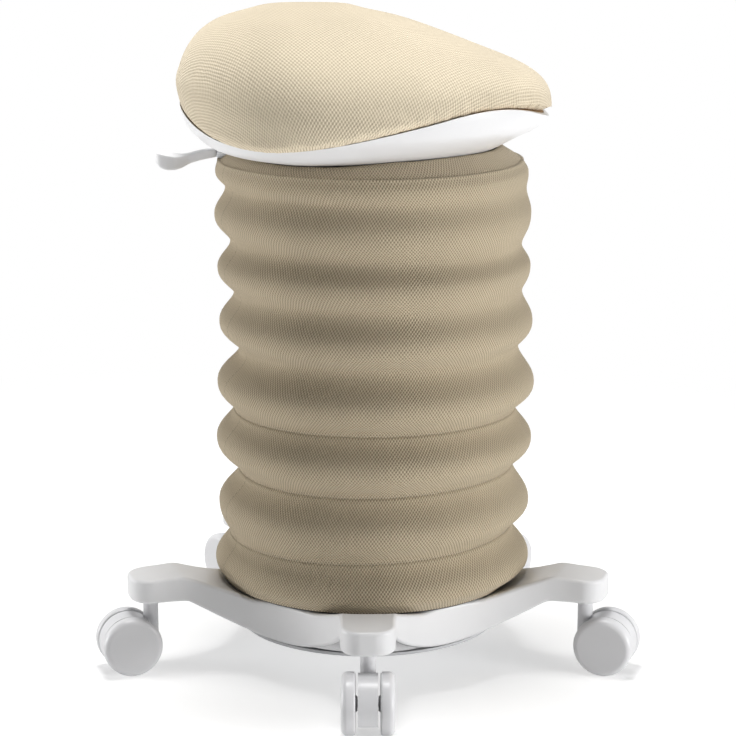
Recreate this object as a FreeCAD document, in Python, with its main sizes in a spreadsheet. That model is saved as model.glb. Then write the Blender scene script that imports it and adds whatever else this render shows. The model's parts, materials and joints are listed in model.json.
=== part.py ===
import FreeCAD, Part
import math
import os
import Sketcher

# A wobble stool: a saddle seat on a gas column that stands in a tilting joint,
# a five-armed base on twin-wheel casters, and a fabric bellows round the column.
# Millimetres. The origin is on the floor below the column, +Z is up, the nose of
# the seat points along +X and one arm of the base points along -Y.

Vector = FreeCAD.Vector

SIZES = {
    # caster wheels and their forks
    "wheel_diameter": 50.0,
    "wheel_width": 11.4,
    "wheel_edge": 5.0,
    "wheel_rim": 4.0,
    "wheel_web": 3.2,
    "wheel_hub_radius": 7.0,
    "wheel_gap": 1.9,
    "fork_width": 15.8,
    "fork_radius": 24.0,
    "fork_wall": 2.4,
    "fork_boss_radius": 8.0,
    "neck_radius": 6.3,
    "neck_top": 60.6,
    "caster_trail": 19.0,
    "axle_radius": 3.0,
    "stem_circle": 192.0,
    "stem_radius": 4.0,
    "stem_top_radius": 5.5,
    "stem_collar": 1.6,
    "socket_wall": 1.8,
    # five-armed base
    "arm_count": 5,
    "arm_half_width": 21.8,
    "arm_end": 210.0,
    "arm_corner": 17.0,
    "arm_sweep": 113.0,
    "tip_bottom": 62.5,
    "tip_top": 81.5,
    "knee_top": 84.0,
    "knee_reach": 168.0,
    "hub_top": 66.0,
    "hub_reach": 121.0,
    "hub_bottom": 30.0,
    "hub_floor_reach": 110.0,
    "underside_knee": 166.0,
    "base_edge": 3.0,
    "base_wall": 4.0,
    "base_rib": 3.0,
    "hub_bore": 57.5,
    "hub_barrel_wall": 4.5,
    "stem_boss_wall": 4.5,
    "rib_length": 120.0,
    "hub_top_rounding": 12.0,
    "knee_top_rounding": 26.0,
    "hub_skirt_rounding": 10.0,
    "underside_rounding": 12.0,
    "cover_thickness": 3.0,
    "cover_screw_circle": 84.0,
    "cover_screw_radius": 2.0,
    "cover_screw_depth": 14.0,
    "cover_boss_wall": 3.0,
    # tilting joint
    "pivot_height": 58.0,
    "pin_radius": 4.0,
    "pin_collar_radius": 6.5,
    "frame_inner": 51.0,
    "frame_bottom": 46.0,
    "frame_flange": 84.0,
    "frame_flange_thickness": 3.0,
    "frame_bolt_circle": 76.0,
    "frame_bolt_radius": 3.0,
    "frame_bolt_depth": 13.0,
    "gimbal_outer": 46.5,
    "gimbal_inner": 38.0,
    "gimbal_half_height": 9.0,
    "cup_outer": 33.0,
    "cup_bottom": 44.0,
    "cup_flange": 66.0,
    "cup_flange_bottom": 87.0,
    "cup_flange_thickness": 4.0,
    "buffer_inner": 53.0,
    "buffer_outer": 68.0,
    # gas column
    "tube_radius": 25.0,
    "tube_wall": 2.0,
    "tube_bottom": 38.0,
    "tube_top": 262.0,
    "bush_length": 82.0,
    "bush_lip": 4.0,
    "gas_radius": 14.0,
    "gas_wall": 2.5,
    "gas_bottom": 152.0,
    "gas_top": 411.0,
    "taper_length": 36.0,
    "taper_drop": 0.9,
    "rod_radius": 5.0,
    "rod_collar": 9.0,
    "rod_end": 33.5,
    "bearing_radius": 13.0,
    "bearing_height": 5.0,
    "valve_radius": 3.5,
    "valve_stand": 6.5,
    # seat mechanism and lever
    "plate_length": 156.0,
    "plate_width": 104.0,
    "plate_thickness": 3.0,
    "box_half_width": 24.0,
    "box_rear": 72.0,
    "box_front": 28.0,
    "box_depth": 21.0,
    "box_wall": 2.5,
    "seat_bolt_x": 56.0,
    "seat_bolt_y": 42.0,
    "seat_bolt_radius": 3.0,
    "seat_bolt_depth": 12.0,
    "seat_post_radius": 9.0,
    "lever_pivot": 60.0,
    "lever_pin_radius": 3.0,
    "lever_width": 9.0,
    "lever_depth": 7.0,
    "lever_rise": 7.6,
    "tongue_width": 7.0,
    "tongue_depth": 3.0,
    "handle_root": 125.0,
    "handle_tongue": 150.0,
    "handle_width": 13.0,
    "paddle_reach": 175.5,
    "paddle_width": 27.0,
    # seat
    "seat_rear": 157.5,
    "seat_nose": 153.0,
    "seat_half_width": 150.0,
    "shell_bottom": 430.0,
    "shell_thickness": 3.5,
    "rim_rear": 474.5,
    "rim_low": 446.3,
    "rim_middle": 456.4,
    "rim_front": 475.0,
    "rim_nose": 458.0,
    "board_thickness": 8.0,
    "cushion_shoulder": 472.0,
    "cushion_height": 79.0,
    "cushion_tuck": 1.5,
    # fabric bellows
    "bellows_peak": 132.0,
    "bellows_bore": 111.0,
    "bellows_bottom": 71.0,
    "bellows_top": 421.0,
    "fold_rounding": 5.0,
    "fold_crown": 5.0,
    "bellows_foot_radius": 120.0,
    "bellows_top_radius": 129.5,
    "hoop_wire": 2.0,
    "hoop_radius": 108.5,
    "hoop_drop": 4.0,
    "foot_ring_radius": 119.0,
    "foot_ring_width": 14.0,
    "foot_ring_wall": 3.0,
    "foot_ring_floor": 2.5,
    "top_ring_wall": 3.0,
    "top_ring_width": 22.0,
    "top_ring_rise": 16.0,
    "top_ring_shelf": 8.0,
    # clearances
    "running_gap": 0.05,
    "press_gap": 0.02,
    "face_gap": 0.3,
    "through": 1000.0,
}

# Each fold of the bellows: height of its peak, then height and radius of the valley above it.
FOLDS = (
    (82.0, 113.0, 122.0),
    (133.0, 164.0, 116.3),
    (188.5, 215.5, 119.3),
    (237.5, 267.0, 117.6),
    (291.0, 312.0, 121.8),
    (333.5, 356.0, 122.7),
    (379.5, 400.0, 126.5),
)

# Level sections of the seat shell: height above its foot, then the reach to the rear, to the nose
# and to each side as shares of the seat's, and where along its length the section is widest.
SHELL_SECTIONS = (
    (0, 0.63, 0.62, 0.65, 0.33),
    (4, 0.74, 0.67, 0.75, 0.33),
    (9, 0.84, 0.74, 0.83, 0.33),
    (16, 0.90, 0.83, 0.89, 0.34),
    (25, 0.95, 0.94, 0.95, 0.35),
    (38, 0.98, 0.99, 0.98, 0.37),
    (56, 0.99, 1.00, 1.00, 0.37),
)

# Side view of the cushion: share of its height, then its reach to the rear and to the nose as
# shares of the seat's, up to its summit behind the middle.
CUSHION_SIDE = (
    (-0.45, 0.97, 0.98),
    (-0.20, 0.97, 0.98),
    (0.00, 0.98, 0.99),
    (0.17, 1.00, 0.96),
    (0.32, 1.00, 0.87),
    (0.50, 0.97, 0.66),
    (0.70, 0.90, 0.40),
    (0.87, 0.77, 0.15),
    (0.96, 0.61, -0.04),
    (0.99, 0.47, -0.19),
)

# How full the cushion's cross section is (2 is an ellipse), and where along the seat it is widest.
CUSHION_ROUNDNESS = 1.9
CUSHION_WIDEST = 0.37


class Size(float):
    """A length that also carries the spreadsheet formula that it comes from."""

    def __new__(cls, number, formula):
        size = float.__new__(cls, number)
        size.formula = formula
        return size

    def __add__(self, other):
        return Size(float(self) + float(other), f"({self.formula} + {formula_of(other)})")

    def __radd__(self, other):
        return Size(float(other) + float(self), f"({formula_of(other)} + {self.formula})")

    def __sub__(self, other):
        return Size(float(self) - float(other), f"({self.formula} - {formula_of(other)})")

    def __rsub__(self, other):
        return Size(float(other) - float(self), f"({formula_of(other)} - {self.formula})")

    def __mul__(self, other):
        return Size(float(self) * float(other), f"({self.formula} * {formula_of(other)})")

    __rmul__ = __mul__

    def __truediv__(self, other):
        return Size(float(self) / float(other), f"({self.formula} / {formula_of(other)})")

    def __neg__(self):
        return Size(-float(self), f"(-{self.formula})")


def formula_of(number):
    """The spreadsheet text of a size or a plain number."""
    return getattr(number, "formula", None) or repr(float(number))


def cosine(degrees):
    return Size(math.cos(math.radians(degrees)), f"cos({formula_of(degrees)} * 1 deg)")


def sine(degrees):
    return Size(math.sin(math.radians(degrees)), f"sin({formula_of(degrees)} * 1 deg)")


doc = FreeCAD.newDocument("WobbleStool")
sheet = doc.addObject("Spreadsheet::Sheet", "Sizes")
sheet.Label = "Sizes"


class Named:
    """The driving dimensions, each read by its name."""


d = Named()
for row, (alias, number) in enumerate(SIZES.items(), start=1):
    sheet.set(f"A{row}", alias)
    sheet.set(f"B{row}", str(number))
    sheet.setAlias(f"B{row}", alias)
    setattr(d, alias, Size(number, f"Sizes.{alias}"))
doc.recompute()

wheel_radius = d.wheel_diameter / 2
arm_step = 360 / d.arm_count
arm_angles = [-90 + float(arm_step) * turn for turn in range(int(d.arm_count))]
nodes = []


# Sketches and features

def new_body(label):
    body = doc.addObject("PartDesign::Body", label)
    body.Label = label
    nodes.append(body)
    return body


def helper_body(label):
    body = doc.addObject("PartDesign::Body", label)
    body.Label = label
    return body


def new_sketch(body, name, plane="XZ_Plane", height=None):
    """A sketch on an origin plane of the body, or level with it at a height."""
    sketch = body.newObject("Sketcher::SketchObject", f"{body.Name}_{name}")
    origin = [face for face in body.Origin.OriginFeatures if face.Role == plane][0]
    sketch.AttachmentSupport = [(origin, "")]
    sketch.MapMode = "FlatFace"
    if height is not None:
        sketch.AttachmentOffset = FreeCAD.Placement(Vector(0, 0, float(height)), FreeCAD.Rotation())
        bind(sketch, "AttachmentOffset.Base.z", height)
    return sketch


def bind(thing, path, number):
    """Drive a property by the formula of a size."""
    if hasattr(number, "formula"):
        thing.setExpression(path, number.formula)


def hold(sketch, kind, *where):
    """Add a constraint, driven by its last value when that is a size."""
    index = sketch.addConstraint(Sketcher.Constraint(kind, *[w if isinstance(w, int) else float(w) for w in where]))
    bind(sketch, f"Constraints[{index}]", where[-1])


def circle(sketch, across, up, radius):
    ring = sketch.addGeometry(Part.Circle(Vector(float(across), float(up), 0), Vector(0, 0, 1), float(radius)))
    hold(sketch, "DistanceX", -1, 1, ring, 3, across)
    hold(sketch, "DistanceY", -1, 1, ring, 3, up)
    hold(sketch, "Radius", ring, radius)


def outline(sketch, corners):
    """Draw a closed outline through corners (across, up) or (across, up, rounding)."""
    points = [Vector(float(c[0]), float(c[1]), 0) for c in corners]
    count = len(corners)
    entering = []
    leaving = []
    arcs = {}
    for i, corner in enumerate(corners):
        if len(corner) < 3:
            entering.append(points[i])
            leaving.append(points[i])
            continue
        back = (points[i - 1] - points[i]).normalize()
        ahead = (points[(i + 1) % count] - points[i]).normalize()
        half = back.getAngle(ahead) / 2
        reach = float(corner[2]) / math.tan(half)
        entering.append(points[i] + back * reach)
        leaving.append(points[i] + ahead * reach)
        centre = points[i] + (back + ahead).normalize() * (float(corner[2]) / math.sin(half))
        turns_left = (points[i] - points[i - 1]).cross(ahead).z > 0
        first, last = (entering[i], leaving[i]) if turns_left else (leaving[i], entering[i])
        start = math.atan2(first.y - centre.y, first.x - centre.x)
        stop = math.atan2(last.y - centre.y, last.x - centre.x)
        ring = Part.Circle(centre, Vector(0, 0, 1), float(corner[2]))
        arcs[i] = (sketch.addGeometry(Part.ArcOfCircle(ring, start, stop)), turns_left)
    lines = []
    for i in range(count):
        lines.append(sketch.addGeometry(Part.LineSegment(leaving[i], entering[(i + 1) % count])))
    for i, corner in enumerate(corners):
        before = lines[i - 1]
        after = lines[i]
        if i in arcs:
            arc, turns_left = arcs[i]
            sketch.addConstraint(Sketcher.Constraint("Tangent", before, 2, arc, 1 if turns_left else 2))
            sketch.addConstraint(Sketcher.Constraint("Tangent", after, 1, arc, 2 if turns_left else 1))
            hold(sketch, "Radius", arc, corner[2])
            mark = sketch.addGeometry(Part.Point(points[i]), True)
            sketch.addConstraint(Sketcher.Constraint("PointOnObject", mark, 1, before))
            sketch.addConstraint(Sketcher.Constraint("PointOnObject", mark, 1, after))
            hold(sketch, "DistanceX", -1, 1, mark, 1, corner[0])
            hold(sketch, "DistanceY", -1, 1, mark, 1, corner[1])
        else:
            sketch.addConstraint(Sketcher.Constraint("Coincident", before, 2, after, 1))
            hold(sketch, "DistanceX", -1, 1, after, 1, corner[0])
            hold(sketch, "DistanceY", -1, 1, after, 1, corner[1])


def box_corners(left, right, low, high, rounding=None):
    corners = [(left, low), (right, low), (right, high), (left, high)]
    return corners if rounding is None else [(*corner, rounding) for corner in corners]


def turn(body, corners, name="profile"):
    """Turn a profile (radius, height) round the body's own Z axis."""
    sketch = new_sketch(body, name)
    outline(sketch, corners)
    turned = body.newObject("PartDesign::Revolution", f"{body.Name}_{name}_turned")
    turned.Profile = sketch
    turned.ReferenceAxis = (sketch, ["V_Axis"])
    turned.Angle = 360
    return turned


def groove(body, corners, name):
    """Turn a profile round Z and take it away."""
    sketch = new_sketch(body, name)
    outline(sketch, corners)
    cut = body.newObject("PartDesign::Groove", f"{body.Name}_{name}_cut")
    cut.Profile = sketch
    cut.ReferenceAxis = (sketch, ["V_Axis"])
    cut.Angle = 360
    return cut


def pad(body, sketch, length, both_ways=False, reverse=False):
    grown = body.newObject("PartDesign::Pad", f"{sketch.Name}_pad")
    grown.Profile = sketch
    grown.Length = float(length)
    bind(grown, "Length", length)
    grown.SideType = "Symmetric" if both_ways else "One side"
    grown.Reversed = reverse
    return grown


def pocket(body, sketch, length, both_ways=False, reverse=False):
    cut = body.newObject("PartDesign::Pocket", f"{sketch.Name}_pocket")
    cut.Profile = sketch
    cut.Length = float(length)
    bind(cut, "Length", length)
    cut.SideType = "Symmetric" if both_ways else "One side"
    cut.Reversed = reverse
    return cut


def repeat_round(body, features, count, name):
    """Repeat features evenly round the body's Z axis."""
    pattern = body.newObject("PartDesign::PolarPattern", f"{body.Name}_{name}")
    pattern.Originals = features
    axis = [line for line in body.Origin.OriginFeatures if line.Role == "Z_Axis"][0]
    pattern.Axis = (axis, [""])
    pattern.Angle = 360
    pattern.Occurrences = int(count)
    body.Tip = pattern
    return pattern


def fillet(body, radius, wanted, name):
    """Round the edges of the body's tip that the test picks."""
    doc.recompute()
    tip = body.Tip
    names = [f"Edge{i}" for i, edge in enumerate(tip.Shape.Edges, start=1) if wanted(edge)]
    rounded = body.newObject("PartDesign::Fillet", f"{body.Name}_{name}")
    rounded.Base = (tip, names)
    rounded.Radius = float(radius)
    bind(rounded, "Radius", radius)
    return rounded


def place(thing, across=0, along=0, up=0, yaw=0, pitch=0, roll=0):
    """Put a part in its place, driven by its sizes."""
    where = Vector(float(across), float(along), float(up))
    thing.Placement = FreeCAD.Placement(where, FreeCAD.Rotation(yaw, pitch, roll))
    bind(thing, "Placement.Base.x", across)
    bind(thing, "Placement.Base.y", along)
    bind(thing, "Placement.Base.z", up)


def group(label, members):
    """One part of several equal solids that stay separate."""
    joined = doc.addObject("Part::Compound", label)
    joined.Label = label
    joined.Links = members
    nodes.append(joined)
    return joined


def round_the_arms(label, maker, angles=None, radius=None):
    """Make one solid at each arm, or at the angles given, on a circle."""
    members = []
    for index, angle in enumerate(arm_angles if angles is None else angles, start=1):
        solid = helper_body(f"{label}_{index}")
        maker(solid)
        on = d.stem_circle if radius is None else radius
        place(solid, on * cosine(angle), on * sine(angle), 0, yaw=angle)
        members.append(solid)
    return group(label, members)


def shape_node(label, shape):
    """A part whose free form is worked out here from the sizes."""
    made = doc.addObject("Part::Feature", label)
    made.Label = label
    made.Shape = shape
    made.Placement = FreeCAD.Placement()
    nodes.append(made)
    return made


# Five-armed base

def star_corners(inset):
    """Plan of the base: arms with rounded ends and wide sweeps between them."""
    side = d.arm_half_width - inset
    end = d.arm_end - inset
    meet = side / sine(arm_step / 2)
    corners = []
    for angle in arm_angles:
        out_x = cosine(angle)
        out_y = sine(angle)
        corners.append((end * out_x + side * out_y, end * out_y - side * out_x, d.arm_corner - inset))
        corners.append((end * out_x - side * out_y, end * out_y + side * out_x, d.arm_corner - inset))
        between = angle + arm_step / 2
        corners.append((meet * cosine(between), meet * sine(between), d.arm_sweep + inset))
    return corners


def top_line(inset):
    """Top of the base from the hub out to the arm ends, as (reach, height, rounding)."""
    return [
        (d.hub_reach, d.hub_top - inset, d.hub_top_rounding),
        (d.knee_reach, d.knee_top - inset, d.knee_top_rounding),
        (d.arm_end + 20, d.tip_top - inset),
    ]


def bottom_line():
    """Underside of the base from the hub skirt out to the arm ends."""
    return [
        (d.hub_floor_reach, d.hub_bottom, d.hub_skirt_rounding),
        (d.underside_knee, d.tip_bottom, d.underside_rounding),
        (d.arm_end + 20, d.tip_bottom),
    ]


def star_solid(body, inset):
    """The star in plan, cut to the top and underside lines."""
    plan = new_sketch(body, "plan", "XY_Plane")
    outline(plan, star_corners(inset))
    pad(body, plan, d.knee_top + 10)
    far = d.arm_end + 20
    above = [(0, d.hub_top - inset), *top_line(inset), (far, d.knee_top + 20), (0, d.knee_top + 20)]
    groove(body, above, "above")
    below = [(0, d.hub_bottom), *bottom_line(), (far, -10), (0, -10)]
    groove(body, below, "below")


def make_base():
    hollow = helper_body("base_hollow")
    star_solid(hollow, d.base_wall)
    barrel = d.hub_bore + d.hub_barrel_wall
    keep_hub = new_sketch(hollow, "hub_barrel", "XY_Plane")
    circle(keep_hub, 0, 0, barrel)
    pocket(hollow, keep_hub, d.through, both_ways=True)
    keep_boss = new_sketch(hollow, "stem_boss", "XY_Plane")
    boss_radius = d.stem_top_radius + d.socket_wall + d.stem_boss_wall
    circle(keep_boss, d.stem_circle * cosine(-90), d.stem_circle * sine(-90), boss_radius)
    boss = pocket(hollow, keep_boss, d.through, both_ways=True)
    keep_rib = new_sketch(hollow, "arm_rib", "XY_Plane")
    outline(keep_rib, box_corners(-d.base_rib / 2, d.base_rib / 2, -d.arm_end, -d.hub_bore))
    rib = pocket(hollow, keep_rib, d.through, both_ways=True)
    cross = []
    half = d.rib_length / 2
    for number, reach in enumerate((d.hub_reach - 8, d.knee_reach - 18, d.knee_reach + 4), start=1):
        keep_cross = new_sketch(hollow, f"cross_rib_{number}", "XY_Plane")
        outline(keep_cross, box_corners(-half, half, -reach - d.base_rib / 2, -reach + d.base_rib / 2))
        cross.append(pocket(hollow, keep_cross, d.through, both_ways=True))
    repeat_round(hollow, [boss, rib, *cross], d.arm_count, "arm_ribs")

    base = new_body("base_star")
    star_solid(base, 0)
    doc.recompute()

    def outer_edge(edge):
        box = edge.BoundBox
        reach = max(math.hypot(v.X, v.Y) for v in edge.Vertexes)
        middle = edge.valueAt((edge.FirstParameter + edge.LastParameter) / 2)
        upright = box.ZLength > 10 and abs(box.XLength) < 1e-3 and abs(box.YLength) < 1e-3
        return reach > 100 and math.hypot(middle.x, middle.y) > 100 and not upright and middle.z > d.hub_top - 8

    fillet(base, d.base_edge, outer_edge, "top_edges")
    doc.recompute()
    under = base.newObject("PartDesign::Boolean", "base_underside")
    under.Type = "Cut"
    under.setObjects([hollow])
    bore = new_sketch(base, "bore", "XY_Plane")
    circle(bore, 0, 0, d.hub_bore)
    pocket(base, bore, d.through, both_ways=True)
    socket = new_sketch(base, "socket", "XY_Plane", d.tip_bottom - 5)
    circle(socket, d.stem_circle * cosine(-90), d.stem_circle * sine(-90), d.stem_top_radius + d.socket_wall)
    socket_cut = pocket(base, socket, d.tip_top - d.tip_bottom - d.base_wall + 5, reverse=True)
    tap = new_sketch(base, "cover_screw_boss", "XY_Plane", d.hub_bottom)
    circle(tap, 0, -d.cover_screw_circle, d.cover_screw_radius + d.cover_boss_wall)
    boss_up = pad(base, tap, d.hub_top - d.hub_bottom - 1)
    hole = new_sketch(base, "cover_screw_hole", "XY_Plane", d.hub_bottom)
    circle(hole, 0, -d.cover_screw_circle, d.cover_screw_radius + d.press_gap)
    hole_up = pocket(base, hole, d.cover_screw_depth + 4, reverse=True)
    repeat_round(base, [socket_cut, boss_up, hole_up], d.arm_count, "arm_holes")
    bolt = new_sketch(base, "frame_bolt_hole", "XY_Plane", d.hub_top)
    circle(bolt, d.frame_bolt_circle * cosine(45), d.frame_bolt_circle * sine(45), d.frame_bolt_radius + d.press_gap)
    bolt_down = pocket(base, bolt, d.frame_bolt_depth + 1)
    repeat_round(base, [bolt_down], 4, "frame_bolt_holes")


def make_cover():
    cover = new_body("base_cover")
    under = d.hub_bottom - d.cover_thickness
    reach = d.hub_floor_reach
    corners = [
        (0, under),
        (reach, under, 1.2),
        (reach, d.hub_bottom),
        (0, d.hub_bottom),
    ]
    turn(cover, corners)
    lid = new_sketch(cover, "screw_hole", "XY_Plane")
    circle(lid, 0, -d.cover_screw_circle, d.cover_screw_radius + d.face_gap)
    hole = pocket(cover, lid, d.through, both_ways=True)
    repeat_round(cover, [hole], d.arm_count, "screw_holes")

    def screw(body):
        head = d.cover_screw_radius * 2
        low = under - 1.8
        profile = [
            (0, low),
            (head, low, 0.8),
            (head, under),
            (d.cover_screw_radius, under),
            (d.cover_screw_radius, d.hub_bottom + d.cover_screw_depth),
            (0, d.hub_bottom + d.cover_screw_depth + 1.5),
        ]
        turn(body, profile)

    round_the_arms("cover_screws", screw, radius=d.cover_screw_circle)


def make_sockets_and_stems():
    outer = d.stem_top_radius + d.socket_wall
    roof = d.tip_top - d.base_wall

    def socket(body):
        inner = d.stem_top_radius + d.press_gap
        profile = [
            (inner, d.tip_bottom),
            (outer - d.press_gap, d.tip_bottom),
            (outer - d.press_gap, roof - 0.5),
            (inner, roof - 0.5),
        ]
        turn(body, profile)

    def stem(body):
        low = d.neck_top - 16
        profile = [
            (0, low),
            (d.stem_radius, low),
            (d.stem_radius, d.neck_top - 7),
            (d.stem_radius - 1, d.neck_top - 6),
            (d.stem_radius - 1, d.neck_top - 4.5),
            (d.stem_radius, d.neck_top - 3.5),
            (d.stem_radius, d.tip_bottom),
            (d.stem_top_radius, d.tip_bottom),
            (d.stem_top_radius, roof - 4),
            (d.stem_top_radius - 1.5, roof - 2),
            (0, roof - 2),
        ]
        turn(body, profile)

    def collar(body):
        top = d.tip_bottom
        profile = [
            (d.stem_radius + d.press_gap, top - d.stem_collar),
            (d.neck_radius - 0.2, top - d.stem_collar),
            (d.neck_radius - 0.2, top),
            (d.stem_radius + d.press_gap, top),
        ]
        turn(body, profile)

    round_the_arms("caster_sockets", socket)
    round_the_arms("caster_stems", stem)
    round_the_arms("caster_collars", collar)


# Casters

def make_fork(label, angle):
    """Hood between the two wheels with the neck that turns on the stem."""
    fork = new_body(label)
    side = new_sketch(fork, "side")
    trail = d.caster_trail
    circle(side, trail, wheel_radius, d.fork_radius)
    pad(fork, side, d.fork_width, both_ways=True)
    mouth = new_sketch(fork, "mouth")
    far = trail + d.fork_radius + 10
    opening = [
        (trail - d.fork_radius - 10, -10),
        (far, -10),
        (far, wheel_radius - 10),
        (trail + 9, wheel_radius - 13, 4),
        (trail - 8, wheel_radius - 12, 4),
        (trail - d.fork_radius - 10, wheel_radius - 4),
    ]
    outline(mouth, opening)
    pocket(fork, mouth, d.through, both_ways=True)
    inside = new_sketch(fork, "inside")
    room = d.fork_radius - d.fork_wall
    circle(inside, trail, wheel_radius, room)
    circle(inside, trail, wheel_radius, d.fork_boss_radius)
    pocket(fork, inside, d.fork_width - 2 * d.fork_wall, both_ways=True)
    neck = new_sketch(fork, "neck", "XY_Plane", wheel_radius - 4)
    circle(neck, 0, 0, d.neck_radius)
    pad(fork, neck, d.neck_top - wheel_radius + 4)
    stem_hole = new_sketch(fork, "stem_hole", "XY_Plane", d.neck_top)
    circle(stem_hole, 0, 0, d.stem_radius + d.running_gap)
    pocket(fork, stem_hole, 17)
    axle_hole = new_sketch(fork, "axle_hole")
    circle(axle_hole, trail, wheel_radius, d.axle_radius + d.press_gap)
    pocket(fork, axle_hole, d.through, both_ways=True)
    place(fork, d.stem_circle * cosine(angle), d.stem_circle * sine(angle), 0, yaw=angle)


def place_on_axle(body, angle, roll):
    """Turn a body's Z axis along the axle of the caster on that arm."""
    reach = d.stem_circle + d.caster_trail
    place(body, reach * cosine(angle), reach * sine(angle), wheel_radius, yaw=angle, roll=roll)


def make_axle(label, angle):
    axle = new_body(label)
    half = d.fork_width / 2 + d.wheel_gap + d.wheel_width - d.wheel_web
    tip = d.axle_radius - 0.6
    profile = [
        (0, -half),
        (tip, -half),
        (d.axle_radius, -half + 0.6),
        (d.axle_radius, half - 0.6),
        (tip, half),
        (0, half),
    ]
    turn(axle, profile)
    place_on_axle(axle, angle, -90)


def make_wheel(label, angle, roll):
    """Wheel with a plain rounded face outside and a hub with a blind bore inside."""
    wheel = new_body(label)
    inner = d.fork_width / 2 + d.wheel_gap
    outer = inner + d.wheel_width
    web = outer - d.wheel_web
    bore = d.axle_radius + d.running_gap
    rim = wheel_radius - d.wheel_rim
    profile = [
        (0, web + d.face_gap),
        (bore, web + d.face_gap),
        (bore, inner - d.wheel_gap + d.face_gap),
        (d.wheel_hub_radius - 1.5, inner - d.wheel_gap + d.face_gap),
        (d.wheel_hub_radius, inner),
        (d.wheel_hub_radius, web - 0.6),
        (rim, web - 1.4),
        (rim, inner),
        (wheel_radius - 1.5, inner),
        (wheel_radius, inner + 1.5),
        (wheel_radius, outer, d.wheel_edge),
        (0, outer),
    ]
    turn(wheel, profile)
    place_on_axle(wheel, angle, roll)


def make_casters():
    for number, angle in enumerate(arm_angles, start=1):
        make_fork(f"caster_{number}_fork", angle)
        make_axle(f"caster_{number}_axle", angle)
        make_wheel(f"caster_{number}_wheel_left", angle, -90)
        make_wheel(f"caster_{number}_wheel_right", angle, 90)


# Tilting joint

def cross_hole(body, name, plane, radius, length):
    """Bore a hole right through at pivot height, along Y or along X."""
    sketch = new_sketch(body, name, plane)
    circle(sketch, 0, d.pivot_height, radius)
    return pocket(body, sketch, length, both_ways=True)


def trunnions(label, inner_tip, inner_face, outer_face, outer_tip, yaw):
    """A pair of collared pins on one axis at pivot height, one each side."""
    pins = []
    for number, turn_by in enumerate((yaw, yaw + 180), start=1):
        pin = helper_body(f"{label}_{number}")
        profile = [
            (0, inner_tip),
            (d.pin_radius - 0.6, inner_tip),
            (d.pin_radius, inner_tip + 0.6),
            (d.pin_radius, inner_face + d.face_gap),
            (d.pin_collar_radius, inner_face + d.face_gap),
            (d.pin_collar_radius, outer_face - 2 * d.face_gap),
            (d.pin_radius, outer_face - 2 * d.face_gap),
            (d.pin_radius, outer_tip),
            (0, outer_tip),
        ]
        turn(pin, profile)
        place(pin, 0, 0, d.pivot_height, yaw=turn_by, pitch=90)
        pins.append(pin)
    group(label, pins)


def make_tilt_joint():
    frame = new_body("pivot_frame")
    outer = d.hub_bore - d.face_gap
    flange_top = d.hub_top + d.frame_flange_thickness
    profile = [
        (d.frame_inner, d.frame_bottom),
        (outer, d.frame_bottom),
        (outer, d.hub_top),
        (d.frame_flange, d.hub_top),
        (d.frame_flange, flange_top, 1),
        (d.frame_inner, flange_top, 2),
    ]
    turn(frame, profile)
    cross_hole(frame, "tilt_x_hole", "YZ_Plane", d.pin_radius + d.press_gap, d.through)
    holes = new_sketch(frame, "bolt_hole", "XY_Plane")
    circle(holes, d.frame_bolt_circle * cosine(45), d.frame_bolt_circle * sine(45), d.frame_bolt_radius + d.face_gap)
    hole = pocket(frame, holes, d.through, both_ways=True)
    repeat_round(frame, [hole], 4, "bolt_holes")

    def bolt(body):
        head = d.frame_bolt_radius * 1.8
        profile = [
            (0, d.hub_top - d.frame_bolt_depth),
            (d.frame_bolt_radius, d.hub_top - d.frame_bolt_depth),
            (d.frame_bolt_radius, flange_top),
            (head, flange_top),
            (head, flange_top + 3.2, 1.2),
            (0, flange_top + 3.2),
        ]
        turn(body, profile)

    round_the_arms("frame_bolts", bolt, angles=(45, 135, 225, 315), radius=d.frame_bolt_circle)
    trunnions("tilt_x_pins", d.gimbal_inner + 1, d.gimbal_outer, d.frame_inner, outer - d.face_gap, 0)

    gimbal = new_body("gimbal_ring")
    low = d.pivot_height - d.gimbal_half_height
    high = d.pivot_height + d.gimbal_half_height
    turn(gimbal, box_corners(d.gimbal_inner, d.gimbal_outer, low, high, 1))
    cross_hole(gimbal, "tilt_x_hole", "YZ_Plane", d.pin_radius + d.running_gap, d.through)
    cross_hole(gimbal, "tilt_y_hole", "XZ_Plane", d.pin_radius + d.press_gap, d.through)
    trunnions("tilt_y_pins", d.tube_radius + 1.5, d.cup_outer, d.gimbal_inner, d.gimbal_outer - 0.5, 90)

    cup = new_body("column_cup")
    cup_bore = d.tube_radius + d.press_gap
    flange_bottom = d.cup_flange_bottom
    flange_top_face = flange_bottom + d.cup_flange_thickness
    profile = [
        (cup_bore, d.cup_bottom),
        (d.cup_outer, d.cup_bottom, 1.5),
        (d.cup_outer, flange_bottom, 4),
        (d.cup_flange, flange_bottom),
        (d.cup_flange, flange_top_face, 1.5),
        (d.cup_outer, flange_top_face, 5),
        (d.cup_outer, flange_top_face + 12, 2),
        (cup_bore, flange_top_face + 12),
    ]
    turn(cup, profile)
    cross_hole(cup, "tilt_y_hole", "XZ_Plane", d.pin_radius + d.running_gap, d.through)

    buffer = new_body("buffer_ring")
    low = flange_top + d.face_gap
    high = d.cup_flange_bottom - d.face_gap
    waist = (low + high) / 2
    profile = [
        (d.buffer_inner, low),
        (d.buffer_outer, low, 2),
        (d.buffer_outer - 3, waist, 4),
        (d.buffer_outer, high, 2),
        (d.buffer_inner, high),
    ]
    turn(buffer, profile)


# Gas column

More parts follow.
